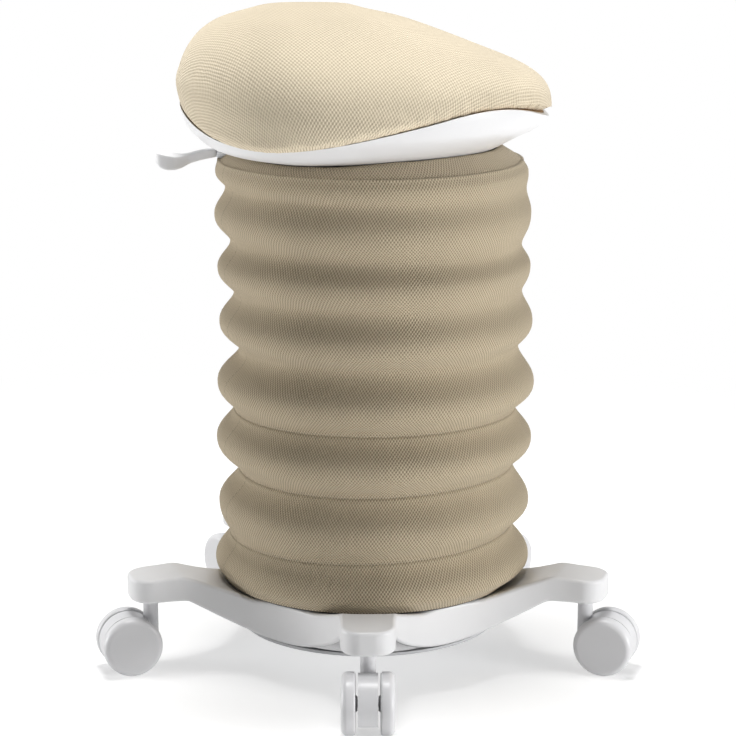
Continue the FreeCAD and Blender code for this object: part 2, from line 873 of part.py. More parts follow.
def make_column():
    tube = new_body("outer_tube")
    inner = d.tube_radius - d.tube_wall
    floor = d.tube_bottom + 3
    hole = d.rod_radius + d.running_gap
    profile = [
        (hole, d.tube_bottom),
        (d.tube_radius, d.tube_bottom, 1.5),
        (d.tube_radius, d.tube_top),
        (inner, d.tube_top),
        (inner, floor),
        (hole, floor),
    ]
    turn(tube, profile)

    bush = new_body("guide_bush")
    bore = d.gas_radius + d.running_gap
    out = inner - d.press_gap
    profile = [
        (bore, d.tube_top - d.bush_length),
        (out, d.tube_top - d.bush_length),
        (out, d.tube_top),
        (d.tube_radius, d.tube_top),
        (d.tube_radius, d.tube_top + d.bush_lip, 1.5),
        (bore + 1.5, d.tube_top + d.bush_lip),
        (bore, d.tube_top + d.bush_lip - 1.5),
    ]
    turn(bush, profile)

    bearing = new_body("thrust_bearing")
    turn(bearing, box_corners(hole, d.bearing_radius, floor, floor + d.bearing_height, 0.8))

    rod = new_body("piston_rod")
    seat_at = floor + d.bearing_height + d.face_gap
    piston_low = d.gas_bottom + 6
    bore_radius = d.gas_radius - d.gas_wall
    profile = [
        (0, d.rod_end),
        (d.rod_radius - 1, d.rod_end),
        (d.rod_radius, d.rod_end + 1),
        (d.rod_radius, seat_at),
        (d.rod_collar, seat_at),
        (d.rod_collar, seat_at + 2.5),
        (d.rod_radius, seat_at + 2.5),
        (d.rod_radius, piston_low),
        (bore_radius - d.running_gap, piston_low),
        (bore_radius - d.running_gap, piston_low + 12),
        (0, piston_low + 12),
    ]
    turn(rod, profile)

    clip = new_body("rod_clip")
    clip_high = d.tube_bottom - d.face_gap
    profile = [
        (d.rod_radius + d.press_gap, clip_high - 2),
        (d.rod_radius + 3.5, clip_high - 2),
        (d.rod_radius + 3.5, clip_high),
        (d.rod_radius + d.press_gap, clip_high),
    ]
    turn(clip, profile)

    gas = new_body("gas_cylinder")
    neck = d.rod_radius + d.running_gap
    valve_hole = d.valve_radius + d.running_gap
    profile = [
        (neck, d.gas_bottom),
        (d.gas_radius, d.gas_bottom, 1),
        (d.gas_radius, d.gas_top - d.taper_length),
        (d.gas_radius - d.taper_drop, d.gas_top),
        (valve_hole, d.gas_top),
        (valve_hole, d.gas_top - 8),
        (bore_radius, d.gas_top - 8),
        (bore_radius, d.gas_bottom + 5),
        (neck, d.gas_bottom + 5),
    ]
    turn(gas, profile)

    valve = new_body("valve_pin")
    top = d.gas_top + d.valve_stand
    profile = [
        (0, d.gas_top - 14),
        (d.valve_radius, d.gas_top - 14),
        (d.valve_radius, top, 0.8),
        (0, top),
    ]
    turn(valve, profile)


# Seat mechanism and height lever

def make_mechanism():
    top = d.shell_bottom
    under = top - d.plate_thickness
    floor = under - d.box_depth
    plate = new_body("mechanism")
    flange = new_sketch(plate, "flange", "XY_Plane", under)
    half = d.plate_length / 2
    wide = d.plate_width / 2
    outline(flange, box_corners(-half, half, -wide, wide, 14))
    pad(plate, flange, d.plate_thickness)
    box = new_sketch(plate, "box", "XY_Plane", floor)
    outline(box, box_corners(-d.box_rear, d.box_front, -d.box_half_width, d.box_half_width, 6))
    pad(plate, box, d.box_depth)
    inside = new_sketch(plate, "inside", "XY_Plane", floor + d.box_wall)
    wall = d.box_wall
    room = box_corners(-d.box_rear + wall, d.box_front - wall, -d.box_half_width + wall, d.box_half_width - wall, 4)
    outline(inside, room)
    pocket(plate, inside, d.box_depth - wall, reverse=True)
    socket = new_sketch(plate, "socket_tube", "XY_Plane", d.gas_top - d.taper_length)
    circle(socket, 0, 0, d.gas_radius + 4.5)
    pad(plate, socket, floor + wall - d.gas_top + d.taper_length)
    taper = [
        (0, d.gas_top - d.taper_length - 2),
        (d.gas_radius + d.press_gap, d.gas_top - d.taper_length - 2),
        (d.gas_radius + d.press_gap, d.gas_top - d.taper_length),
        (d.gas_radius + d.press_gap - d.taper_drop, d.gas_top),
        (0, d.gas_top),
    ]
    groove(plate, taper, "taper")
    slot = new_sketch(plate, "lever_slot", "YZ_Plane")
    half_slot = d.lever_width / 2 + 1.5
    outline(slot, box_corners(-half_slot, half_slot, under - 12.5, under - 0.5))
    pocket(plate, slot, d.box_rear + 5)
    hole = new_sketch(plate, "lever_pin_hole")
    circle(hole, -d.lever_pivot, lever_axis, d.lever_pin_radius + d.press_gap)
    pocket(plate, hole, d.through, both_ways=True)
    bolts = new_sketch(plate, "bolt_holes", "XY_Plane")
    for across in (-d.seat_bolt_x, d.seat_bolt_x):
        for along in (-d.seat_bolt_y, d.seat_bolt_y):
            circle(bolts, across, along, d.seat_bolt_radius + d.face_gap)
    pocket(plate, bolts, d.through, both_ways=True)

    pin = new_body("lever_pin")
    half_pin = d.box_half_width + 2
    profile = [
        (0, -half_pin),
        (d.lever_pin_radius, -half_pin),
        (d.lever_pin_radius, half_pin),
        (d.lever_pin_radius + 1.5, half_pin),
        (d.lever_pin_radius + 1.5, half_pin + 1.6),
        (0, half_pin + 1.6),
    ]
    turn(pin, profile)
    place(pin, -d.lever_pivot, 0, lever_axis, roll=90)

    bolts = []
    for across in (-d.seat_bolt_x, d.seat_bolt_x):
        for along in (-d.seat_bolt_y, d.seat_bolt_y):
            bolt = helper_body(f"seat_bolt_{len(bolts) + 1}")
            head = d.seat_bolt_radius * 1.7
            end = d.shell_bottom + d.shell_thickness + d.seat_bolt_depth
            profile = [
                (0, under - 3.4),
                (head, under - 3.4, 1),
                (head, under),
                (d.seat_bolt_radius, under),
                (d.seat_bolt_radius, end - 1),
                (d.seat_bolt_radius - 1, end),
                (0, end),
            ]
            turn(bolt, profile)
            place(bolt, across, along, 0)
            bolts.append(bolt)
    group("seat_bolts", bolts)


def make_lever():
    """Bent bar whose inner end presses the valve when the handle outside is lifted."""
    top = lever_low + d.lever_depth
    root = d.handle_root
    end = d.handle_tongue
    crank = root - 33
    tongue = lever_low + d.lever_rise + 0.6
    end_low = tongue - 4.0
    bar = new_body("height_lever")
    side = new_sketch(bar, "side")
    profile = [
        (-end, end_low),
        (-root, tongue),
        (-root, lever_low + d.lever_rise),
        (-crank - 20, lever_low + d.lever_rise - 3, 12),
        (-crank, lever_low, 12),
        (d.valve_radius + 3, lever_low),
        (d.valve_radius + 3, top),
        (-crank, top, 12),
        (-crank - 20, top + 2.8, 12),
        (-root, top + 5.6),
        (-root, tongue + d.tongue_depth),
        (-end, end_low + d.tongue_depth),
    ]
    outline(side, profile)
    pad(bar, side, d.lever_width, both_ways=True)
    thin = new_sketch(bar, "tongue_sides", "XY_Plane")
    half = d.lever_width / 2
    half_tongue = d.tongue_width / 2
    for near, far in ((-half - 5, -half_tongue), (half_tongue, half + 5)):
        outline(thin, box_corners(-end - 5, -root, near, far))
    pocket(bar, thin, d.through, both_ways=True)
    hole = new_sketch(bar, "pin_hole")
    circle(hole, -d.lever_pivot, lever_axis, d.lever_pin_radius + d.running_gap)
    pocket(bar, hole, d.through, both_ways=True)

    handle = new_body("lever_handle")
    form = new_sketch(handle, "side")
    tip = d.paddle_reach
    low = lever_low
    profile = [
        (-root - 0.3, low + 8.0, 1),
        (-root - 0.3, low + 14.6, 2),
        (-root - 12, low + 14.4, 8),
        (-end - 1, low + 9.4, 6),
        (-end - 8, low + 4.2, 4),
        (-end - 12, low + 1.7, 5),
        (-tip + 5.5, low + 2.8, 5),
        (-tip + 2.6, low + 12.3, 0.8),
        (-tip, low + 11.9, 0.8),
        (-tip + 2.2, low + 1.2, 6),
        (-tip + 9, low - 2.2, 8),
        (-end - 7, low - 1.6, 10),
        (-end + 1.5, low + 2.8, 12),
    ]
    outline(form, profile)
    pad(handle, form, d.paddle_width, both_ways=True)
    plan = new_sketch(handle, "plan", "XY_Plane")
    half = d.paddle_width / 2
    arm = d.handle_width / 2
    corner = d.paddle_width * 0.45
    outline(plan, [
        (-tip - 20, -half - 20),
        (-root + 10, -half - 20),
        (-root + 10, -arm),
        (-end - 3, -arm, 6),
        (-end - 9, -half, 6),
        (-tip - 0.5, -half, corner),
        (-tip - 0.5, half, corner),
        (-end - 9, half, 6),
        (-end - 3, arm, 6),
        (-root + 10, arm),
        (-root + 10, half + 20),
        (-tip - 20, half + 20),
    ])
    pocket(handle, plan, d.through, both_ways=True)
    room = new_sketch(handle, "tongue_room")
    spare = d.face_gap / 2
    outline(room, [
        (-end - 0.3, end_low - spare),
        (-root + 5, tongue + 0.8 - spare),
        (-root + 5, tongue + d.tongue_depth + 0.8 + spare),
        (-end - 0.3, end_low + d.tongue_depth + spare),
    ])
    pocket(handle, room, d.tongue_width + d.face_gap, both_ways=True)


# Seat

def egg(height, rear, nose, half_width, widest_share):
    """Closed plan outline, blunt at the rear and longer at the nose."""
    widest = -rear + widest_share * (rear + nose)
    around = 28
    points = []
    for step in range(around):
        angle = 2 * math.pi * step / around
        length = nose - widest if math.cos(angle) > 0 else widest + rear
        points.append(Vector(widest + length * math.cos(angle), half_width * math.sin(angle), height))
    curve = Part.BSplineCurve()
    curve.interpolate(Points=points, PeriodicFlag=True)
    return Part.Wire([curve.toShape()])


def hull(inset):
    """Bowl of the seat shell, from its flat foot up past the highest rim."""
    outlines = []
    for rise, rear, nose, side, widest in SHELL_SECTIONS:
        height = float(d.shell_bottom) + rise + inset
        reach_rear = float(d.seat_rear) * rear - inset
        reach_nose = float(d.seat_nose) * nose - inset
        wide = float(d.seat_half_width) * side - inset
        outlines.append(egg(height, reach_rear, reach_nose, wide, widest))
    return Part.makeLoft(outlines, True, False)


def above_rim(lift):
    """Everything above the saddle-shaped rim line, raised by lift."""
    stations = (
        (-d.seat_rear, d.rim_rear),
        (-0.87 * d.seat_rear, (d.rim_rear + d.rim_low) / 2 - 1.9),
        (-0.62 * d.seat_rear, d.rim_low + 0.9),
        (-0.35 * d.seat_rear, d.rim_low + 0.9),
        (0.0, d.rim_middle),
        (0.38 * d.seat_nose, d.rim_front - 6),
        (0.68 * d.seat_nose, d.rim_front),
        (0.9 * d.seat_nose, (d.rim_front + d.rim_nose) / 2 + 1),
        (d.seat_nose, d.rim_nose),
    )
    points = [Vector(float(x), -400, float(z) + lift) for x, z in stations]
    curve = Part.BSplineCurve()
    curve.interpolate(Points=points)
    first = points[0]
    last = points[-1]
    reach = 60
    sky = 700
    corners = [
        last,
        Vector(last.x + reach, -400, last.z - 0.8 * reach),
        Vector(last.x + reach, -400, sky),
        Vector(first.x - reach, -400, sky),
        Vector(first.x - reach, -400, first.z + reach),
        first,
    ]
    edges = [curve.toShape()]
    edges += [Part.makeLine(a, b) for a, b in zip(corners[:-1], corners[1:])]
    return Part.Face(Part.Wire(edges)).extrude(Vector(0, 800, 0))


def cushion_form():
    """Foam block with its highest place behind the middle, before it is cut to the rim line."""
    outlines = []
    for rise, rear, nose in CUSHION_SIDE:
        height = float(d.cushion_shoulder) + float(d.cushion_height) * rise
        side = (1 - max(rise, 0.0) ** CUSHION_ROUNDNESS) ** (1 / CUSHION_ROUNDNESS)
        tuck = float(d.cushion_tuck) if rise < 0 else 0.0
        wide = float(d.seat_half_width) * side - tuck
        outlines.append(egg(height, float(d.seat_rear) * rear, float(d.seat_nose) * nose, wide, CUSHION_WIDEST))
    return Part.makeLoft(outlines, True, False)


def make_seat():
    wall = float(d.shell_thickness)
    gap = float(d.face_gap)
    shell_floor = float(d.shell_bottom) + wall
    shell = hull(0.0).cut(hull(wall)).cut(above_rim(0.0))
    board = hull(wall + gap).cut(above_rim(-gap)).common(above_rim(-float(d.board_thickness)))
    deepest = float(d.rim_front) - shell_floor
    for across in (-d.seat_bolt_x, d.seat_bolt_x):
        for along in (-d.seat_bolt_y, d.seat_bolt_y):
            foot = Vector(float(across), float(along), shell_floor + gap)
            post = Part.makeCylinder(float(d.seat_post_radius), deepest, foot).cut(above_rim(-gap - 1))
            board = board.fuse(post)
            bore = Part.makeCylinder(float(d.seat_bolt_radius + d.press_gap), float(d.seat_bolt_depth) + 1, foot)
            board = board.cut(bore)
            below = foot - Vector(0, 0, 10)
            shell = shell.cut(Part.makeCylinder(float(d.seat_bolt_radius + d.face_gap), 20, below))
    shape_node("seat_shell", shell)
    shape_node("seat_board", board)
    shape_node("seat_cushion", cushion_form().common(above_rim(gap)))


# Fabric bellows

def bellows_section(label, low, high, folds, low_radius, high_radius):
    """Part of the padded fabric tube, its folds outside and a plain bore inside."""
    section = new_body(label)
    corners = [(d.bellows_bore, low), (low_radius, low)]
    for peak_height, valley_height, valley_radius in folds:
        corners.append((d.bellows_peak, peak_height - d.fold_crown, d.fold_rounding))
        corners.append((d.bellows_peak, peak_height + d.fold_crown, d.fold_rounding))
        if valley_height < high - 1:
            corners.append((valley_radius, valley_height))
    corners += [(high_radius, high), (d.bellows_bore, high)]
    turn(section, corners)


def hoop(body, height):
    """Wire hoop that holds a valley of the bellows from inside."""
    sketch = new_sketch(body, "wire")
    circle(sketch, d.hoop_radius, height, d.hoop_wire)
    ring = body.newObject("PartDesign::Revolution", f"{body.Name}_hoop")
    ring.Profile = sketch
    ring.ReferenceAxis = (sketch, ["V_Axis"])
    ring.Angle = 360


def make_bellows():
    gap = d.face_gap
    bottom = d.bellows_bottom + gap
    ends = [fold[1] for fold in FOLDS]
    radii = [fold[2] for fold in FOLDS]
    foot = d.bellows_foot_radius
    top = d.bellows_top_radius
    bellows_section("bellows_foot_fold", bottom, ends[0] - gap, FOLDS[:1], foot, radii[0])
    bellows_section("bellows_tilt_x_fold", ends[0], ends[1] - gap, FOLDS[1:2], radii[0], radii[1])
    bellows_section("bellows_tilt_y_fold", ends[1], ends[2] - gap, FOLDS[2:3], radii[1], radii[2])
    last = (d.bellows_top - 3 - d.fold_crown, d.bellows_top, top)
    bellows_section("bellows_upper_folds", ends[2], d.bellows_top - gap, (*FOLDS[3:], last), radii[2], top)
    hoop(new_body("hoop_foot"), ends[0] - d.hoop_drop)
    hoop(new_body("hoop_tilt"), ends[1] - d.hoop_drop)
    hoops = []
    for number, height in enumerate(ends[2:], start=1):
        wire = helper_body(f"hoop_upper_{number}")
        hoop(wire, height)
        hoops.append(wire)
    group("hoops_upper", hoops)

    ring = new_body("bellows_foot_ring")
    out = d.foot_ring_radius
    wall = d.foot_ring_wall
    floor = d.hub_top + d.foot_ring_floor
    profile = [
        (out - d.foot_ring_width, d.hub_top),
        (out, d.hub_top),
        (out, d.bellows_bottom),
        (out - wall, d.bellows_bottom),
        (out - wall, floor),
        (out - d.foot_ring_width, floor),
    ]
    turn(ring, profile)

    wall = float(d.top_ring_wall)
    low = float(d.bellows_top)
    rim = float(d.bellows_top_radius)
    inner = rim - float(d.top_ring_width)
    high = low + float(d.top_ring_rise)
    foot = float(d.seat_half_width) * SHELL_SECTIONS[0][3]
    clear_of_plate = foot - float(d.top_ring_shelf)
    corners = [
        (inner, low),
        (rim, low),
        (foot + 12, high),
        (clear_of_plate, high),
        (clear_of_plate, high - 8),
        (inner - wall, low + 2 * wall),
    ]
    points = [Vector(radius, 0, height) for radius, height in corners]
    face = Part.Face(Part.makePolygon([*points, points[0]]))
    collar = face.revolve(Vector(0, 0, 0), Vector(0, 0, 1), 360)
    collar = collar.cut(hull(-float(d.face_gap)))
    half = float(d.handle_width) / 2 + 2
    notch = Part.makeBox(120, 2 * half, 60, Vector(-180, -half, float(lever_low) - 4))
    shape_node("bellows_top_ring", collar.cut(notch))


lever_low = d.gas_top + d.valve_stand + d.face_gap
lever_axis = lever_low + d.lever_depth / 2 - 0.3

make_base()
make_cover()
make_sockets_and_stems()
make_casters()
make_tilt_joint()
make_column()
make_mechanism()
make_lever()
make_seat()
make_bellows()
doc.recompute()

faults = []
for thing in doc.Objects:
    if {"Invalid", "Error"} & set(thing.State):
        faults.append(f"{thing.Name}: {thing.State} {thing.getStatusString()}")
for node in nodes:
    if node.Shape.isNull() or not node.Shape.isValid() or not node.Shape.Solids:
        faults.append(f"{node.Label}: no valid solid")
if faults:
    raise RuntimeError("; ".join(faults))

os.makedirs("parts", exist_ok=True)
for node in nodes:
    node.Shape.exportStep(f"parts/{node.Label}.step")
    solids = node.Shape.Solids
    print(f"{node.Label}: {len(solids)} solid, {sum(solid.Volume for solid in solids) / 1000:.1f} cm3")
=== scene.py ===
"""A wobble stool: saddle seat on a gas column, fabric bellows, five-armed base on twin-wheel casters.

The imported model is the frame. Its soft parts are remade here as cloth, its moulded parts are
carried over with rounded edges, and every surface gets a procedural finish.
"""

import json
import logging
import math
from collections.abc import Callable, Iterator, Sequence
from contextlib import contextmanager
from dataclasses import dataclass, field
from enum import Enum

import bpy
import numpy as np
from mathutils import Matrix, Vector
from mathutils.bvhtree import BVHTree


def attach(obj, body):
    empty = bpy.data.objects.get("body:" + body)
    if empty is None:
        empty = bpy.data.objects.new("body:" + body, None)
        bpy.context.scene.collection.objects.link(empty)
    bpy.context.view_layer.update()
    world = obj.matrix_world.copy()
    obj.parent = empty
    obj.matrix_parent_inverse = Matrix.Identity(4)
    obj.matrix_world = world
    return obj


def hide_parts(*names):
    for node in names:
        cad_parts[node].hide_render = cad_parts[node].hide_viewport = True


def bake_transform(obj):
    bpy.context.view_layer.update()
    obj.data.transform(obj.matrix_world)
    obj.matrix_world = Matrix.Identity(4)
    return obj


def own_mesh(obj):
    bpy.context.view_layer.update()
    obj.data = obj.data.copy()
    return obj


LOG = logging.getLogger("wobble_stool")
MM = 0.001


class Slot(Enum):
    """Material slots of the record."""

    STEEL = "steel"
    CAST = "cast_metal"
    WHITE = "white_plastic"
    GREY = "grey_plastic"
    CASTER = "caster_plastic"
    BLACK = "black_plastic"
    PAINTED = "painted_steel"
    RUBBER = "rubber"
    SEAT_CLOTH = "seat_fabric"
    BELLOWS_CLOTH = "bellows_fabric"
    BOARD = "board"
    NYLON = "nylon"


# Bench tools


def deselect() -> None:
    """Leave nothing selected."""
    for thing in list(bpy.context.selected_objects):
        thing.select_set(False)


def activate(piece: bpy.types.Object) -> None:
    """Select one piece alone and make it the active one."""
    deselect()
    piece.select_set(True)
    bpy.context.view_layer.objects.active = piece


@contextmanager
def editing(piece: bpy.types.Object, elements: str = "VERT") -> Iterator[None]:
    """Open one piece in edit mode, selecting by vertices, edges or faces, and close it again."""
    activate(piece)
    bpy.ops.object.mode_set(mode="EDIT")
    bpy.ops.mesh.select_mode(type=elements)
    yield
    bpy.ops.object.mode_set(mode="OBJECT")


def select_faces(piece: bpy.types.Object, wanted: Callable) -> None:
    """Select the faces that a test picks, and nothing else."""
    with editing(piece, "FACE"):
        bpy.ops.mesh.select_all(action="DESELECT")
    for face in piece.data.polygons:
        face.select = bool(wanted(face))


def apply_modifier(piece: bpy.types.Object, kind: str, **settings: object) -> None:
    """Add a modifier, set it and apply it.

    Args:
        piece: The mesh piece.
        kind: Blender's name of the modifier.
        settings: Values for its properties.
    """
    activate(piece)
    modifier = piece.modifiers.new(kind.title(), kind)
    for name, value in settings.items():
        setattr(modifier, name, value)
    bpy.ops.object.modifier_apply(modifier=modifier.name)


def settle(piece: bpy.types.Object) -> None:
    """Move the piece's place into its mesh, so that its object sits at the origin."""
    activate(piece)
    bpy.ops.object.transform_apply(location=True, rotation=True, scale=True)


def points_of(piece: bpy.types.Object) -> np.ndarray:
    """Vertex places of a piece as an array."""
    places = np.empty(len(piece.data.vertices) * 3)
    piece.data.vertices.foreach_get("co", places)
    return places.reshape(-1, 3)


def surface_of(mesh: bpy.types.Mesh) -> BVHTree:
    """A mesh's faces, ready to be searched for the nearest place."""
    faces = [tuple(face.vertices) for face in mesh.polygons]
    return BVHTree.FromPolygons([vertex.co for vertex in mesh.vertices], faces)


def put_points(piece: bpy.types.Object, places: np.ndarray) -> None:
    """Write vertex places back to a piece."""
    piece.data.vertices.foreach_set("co", np.ascontiguousarray(places, dtype=np.float64).ravel())
    piece.data.update()


def smooth(piece: bpy.types.Object, degrees: float = 38.0) -> None:
    """Shade a piece smooth, except across edges sharper than the angle."""
    activate(piece)
    bpy.ops.object.shade_smooth_by_angle(angle=math.radians(degrees))


def finish_piece(piece: bpy.types.Object, body: str, material: bpy.types.Material) -> None:
    """Dress a piece, let it ride on its body and report it.

    Args:
        piece: The finished piece.
        body: Name of the body that it moves with.
        material: Its finish.
    """
    dress(piece, material)
    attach(piece, body)
    LOG.info("%s: %d faces on %s", piece.name, len(piece.data.polygons), body)


def slot_of(node: str) -> Slot:
    """Material slot of a node by the record."""
    return {row["node"]: Slot(row["material_slot"]) for row in frame["record"]["subparts"]}[node]


def dress(piece: bpy.types.Object, material: bpy.types.Material) -> None:
    """Give a piece its finish."""
    piece.data.materials.clear()
    piece.data.materials.append(material)


def carry_over(node: str, name: str, round_edges: float = 0.0, angle: float = 40.0) -> bpy.types.Object:
    """Copy a rigid node, merge its loose triangles and round its sharp edges.

    Args:
        node: Name of the node.
        name: Name of the new piece.
        round_edges: Width of the rounding in metres, 0 for none.
        angle: Edges sharper than this many degrees are rounded and stay crisp in shading.

    Returns:
        The new piece, which replaces the node.
    """
    source = frame["nodes"][node]
    piece = bpy.data.objects.new(name, source.data.copy())
    bpy.context.scene.collection.objects.link(piece)
    with editing(piece):
        bpy.ops.mesh.select_all(action="SELECT")
        bpy.ops.mesh.remove_doubles(threshold=1e-5)
    if round_edges:
        apply_modifier(
            piece,
            "BEVEL",
            width=round_edges,
            segments=2,
            limit_method="ANGLE",
            angle_limit=math.radians(angle),
            use_clamp_overlap=True,
            harden_normals=False,
        )
    smooth(piece, angle)
    apply_modifier(piece, "WEIGHTED_NORMAL", mode="FACE_AREA", keep_sharp=True)
    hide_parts(node)
    return piece


# Finishes


class NodeSheet:
    """A material's node tree with short calls for the nodes that the finishes use."""

    def __init__(self, name: str) -> None:
        """Start an empty material of that name."""
        self.material = bpy.data.materials.new(name)
        self.material.use_nodes = True
        self.tree = self.material.node_tree
        self.tree.nodes.clear()
        self.output = self.tree.nodes.new("ShaderNodeOutputMaterial")
        self.shader = self.tree.nodes.new("ShaderNodeBsdfPrincipled")
        self.link(self.shader.outputs["BSDF"], self.output.inputs["Surface"])

    def link(self, source: bpy.types.NodeSocket, target: bpy.types.NodeSocket) -> None:
        """Join two sockets."""
        self.tree.links.new(source, target)

    def set(self, **values: object) -> None:
        """Set shader inputs by name, with underscores for spaces."""
        for name, value in values.items():
            self.shader.inputs[name.replace("_", " ")].default_value = value

    def math(
        self, kind: str, first: object, second: object = 0.0, clamp: bool = False
    ) -> bpy.types.NodeSocket:
        """A math node on sockets or numbers.

        Args:
            kind: The operation.
            first: First input, a socket or a number.
            second: Second input, a socket or a number.
            clamp: Whether the result stays from 0 to 1.

        Returns:
            The node's output.
        """
        node = self.tree.nodes.new("ShaderNodeMath")
        node.operation = kind
        node.use_clamp = clamp
        for index, value in enumerate((first, second)):
            if isinstance(value, bpy.types.NodeSocket):
                self.link(value, node.inputs[index])
            else:
                node.inputs[index].default_value = value
        return node.outputs[0]

    def noise(
        self, scale: float, detail: float = 3.0, stretch: tuple = (1.0, 1.0, 1.0)
    ) -> bpy.types.NodeSocket:
        """Noise on object coordinates, with cells of about 1 / scale metres."""
        place = self.tree.nodes.new("ShaderNodeTexCoord")
        turn = self.tree.nodes.new("ShaderNodeMapping")
        turn.inputs["Scale"].default_value = stretch
        self.link(place.outputs["Object"], turn.inputs["Vector"])
        noise = self.tree.nodes.new("ShaderNodeTexNoise")
        noise.inputs["Scale"].default_value = scale
        noise.inputs["Detail"].default_value = detail
        self.link(turn.outputs["Vector"], noise.inputs["Vector"])
        return noise.outputs["Fac"]

    def spread(
        self, source: bpy.types.NodeSocket, low: float, high: float, to_low: float = 0.0, to_high: float = 1.0
    ) -> bpy.types.NodeSocket:
        """Map a range of values onto another one, clamped."""
        node = self.tree.nodes.new("ShaderNodeMapRange")
        self.link(source, node.inputs["Value"])
        for name, value in (("From Min", low), ("From Max", high), ("To Min", to_low), ("To Max", to_high)):
            node.inputs[name].default_value = value
        return node.outputs[0]

    def blend(self, share: bpy.types.NodeSocket, first: object, second: object) -> bpy.types.NodeSocket:
        """Mix two colours, each a socket or four numbers, by a share."""
        node = self.tree.nodes.new("ShaderNodeMix")
        node.data_type = "RGBA"
        self.link(share, node.inputs[0])
        for index, value in ((6, first), (7, second)):
            if isinstance(value, bpy.types.NodeSocket):
                self.link(value, node.inputs[index])
            else:
                node.inputs[index].default_value = value
        return node.outputs[2]

    def blend_base(self, share: bpy.types.NodeSocket, first: object, second: object) -> None:
        """Mix two colours by a share and paint the surface with the result."""
        self.link(self.blend(share, first, second), self.shader.inputs["Base Color"])

    def bump(self, height: bpy.types.NodeSocket, distance: float, strength: float) -> None:
        """Bump the surface by a height."""
        node = self.tree.nodes.new("ShaderNodeBump")
        node.inputs["Strength"].default_value = strength
        node.inputs["Distance"].default_value = distance
        self.link(height, node.inputs["Height"])
        self.link(node.outputs["Normal"], self.shader.inputs["Normal"])


def linear(red: int, green: int, blue: int) -> tuple:
    """Colour of a surface from its screen values, 0 to 255."""
    return tuple(((value / 255 + 0.055) / 1.055) ** 2.4 for value in (red, green, blue)) + (1.0,)


def shade(colour: tuple, share: float) -> tuple:
    """A darker colour: a share of the given one."""
    return tuple(part * share for part in colour[:3]) + (1.0,)


@dataclass(frozen=True)
class Moulded:
    """Moulded plastic: fine spark grain, faint flow marks and a slightly polished skin."""

    name: str
    colour: tuple
    roughness: float
    grain: float = 900.0
    grain_depth: float = 0.00002
    coat: float = 0.0

    def material(self) -> bpy.types.Material:
        """Build the material."""
        sheet = NodeSheet(self.name)
        cloudy = sheet.spread(sheet.noise(14.0, 4.0), 0.35, 0.65)
        sheet.blend_base(cloudy, shade(self.colour, 0.985), self.colour)
        rough = sheet.spread(sheet.noise(60.0, 5.0), 0.3, 0.7, self.roughness - 0.05, self.roughness + 0.07)
        sheet.link(rough, sheet.shader.inputs["Roughness"])
        sheet.bump(sheet.noise(self.grain, 2.0), self.grain_depth, 0.35)
        sheet.set(Coat_Weight=self.coat, Coat_Roughness=0.18, IOR=1.5)
        return sheet.material


@dataclass(frozen=True)
class Metal:
    """Steel or cast metal, turned or drawn, with fine marks along one axis."""

    name: str
    colour: tuple
    roughness: float
    metallic: float = 1.0
    marks: tuple = (1.0, 1.0, 14.0)

    def material(self) -> bpy.types.Material:
        """Build the material."""
        sheet = NodeSheet(self.name)
        lines = sheet.noise(160.0, 4.0, self.marks)
        sheet.blend_base(sheet.spread(lines, 0.3, 0.7), shade(self.colour, 0.8), self.colour)
        rough = sheet.spread(lines, 0.3, 0.7, self.roughness - 0.08, self.roughness + 0.1)
        sheet.link(rough, sheet.shader.inputs["Roughness"])
        sheet.bump(lines, 0.00004, 0.3)
        sheet.set(Metallic=self.metallic)
        return sheet.material


@dataclass(frozen=True)
class Soft:
    """Matt rubber, board or nylon with a soft grain."""

    name: str
    colour: tuple
    roughness: float
    grain: float
    depth: float
    stretch: tuple = (1.0, 1.0, 1.0)

    def material(self) -> bpy.types.Material:
        """Build the material."""
        sheet = NodeSheet(self.name)
        grain = sheet.noise(self.grain, 4.0, self.stretch)
        sheet.blend_base(sheet.spread(grain, 0.3, 0.7), shade(self.colour, 0.75), self.colour)
        sheet.bump(grain, self.depth, 0.5)
        sheet.set(Roughness=self.roughness)
        return sheet.material


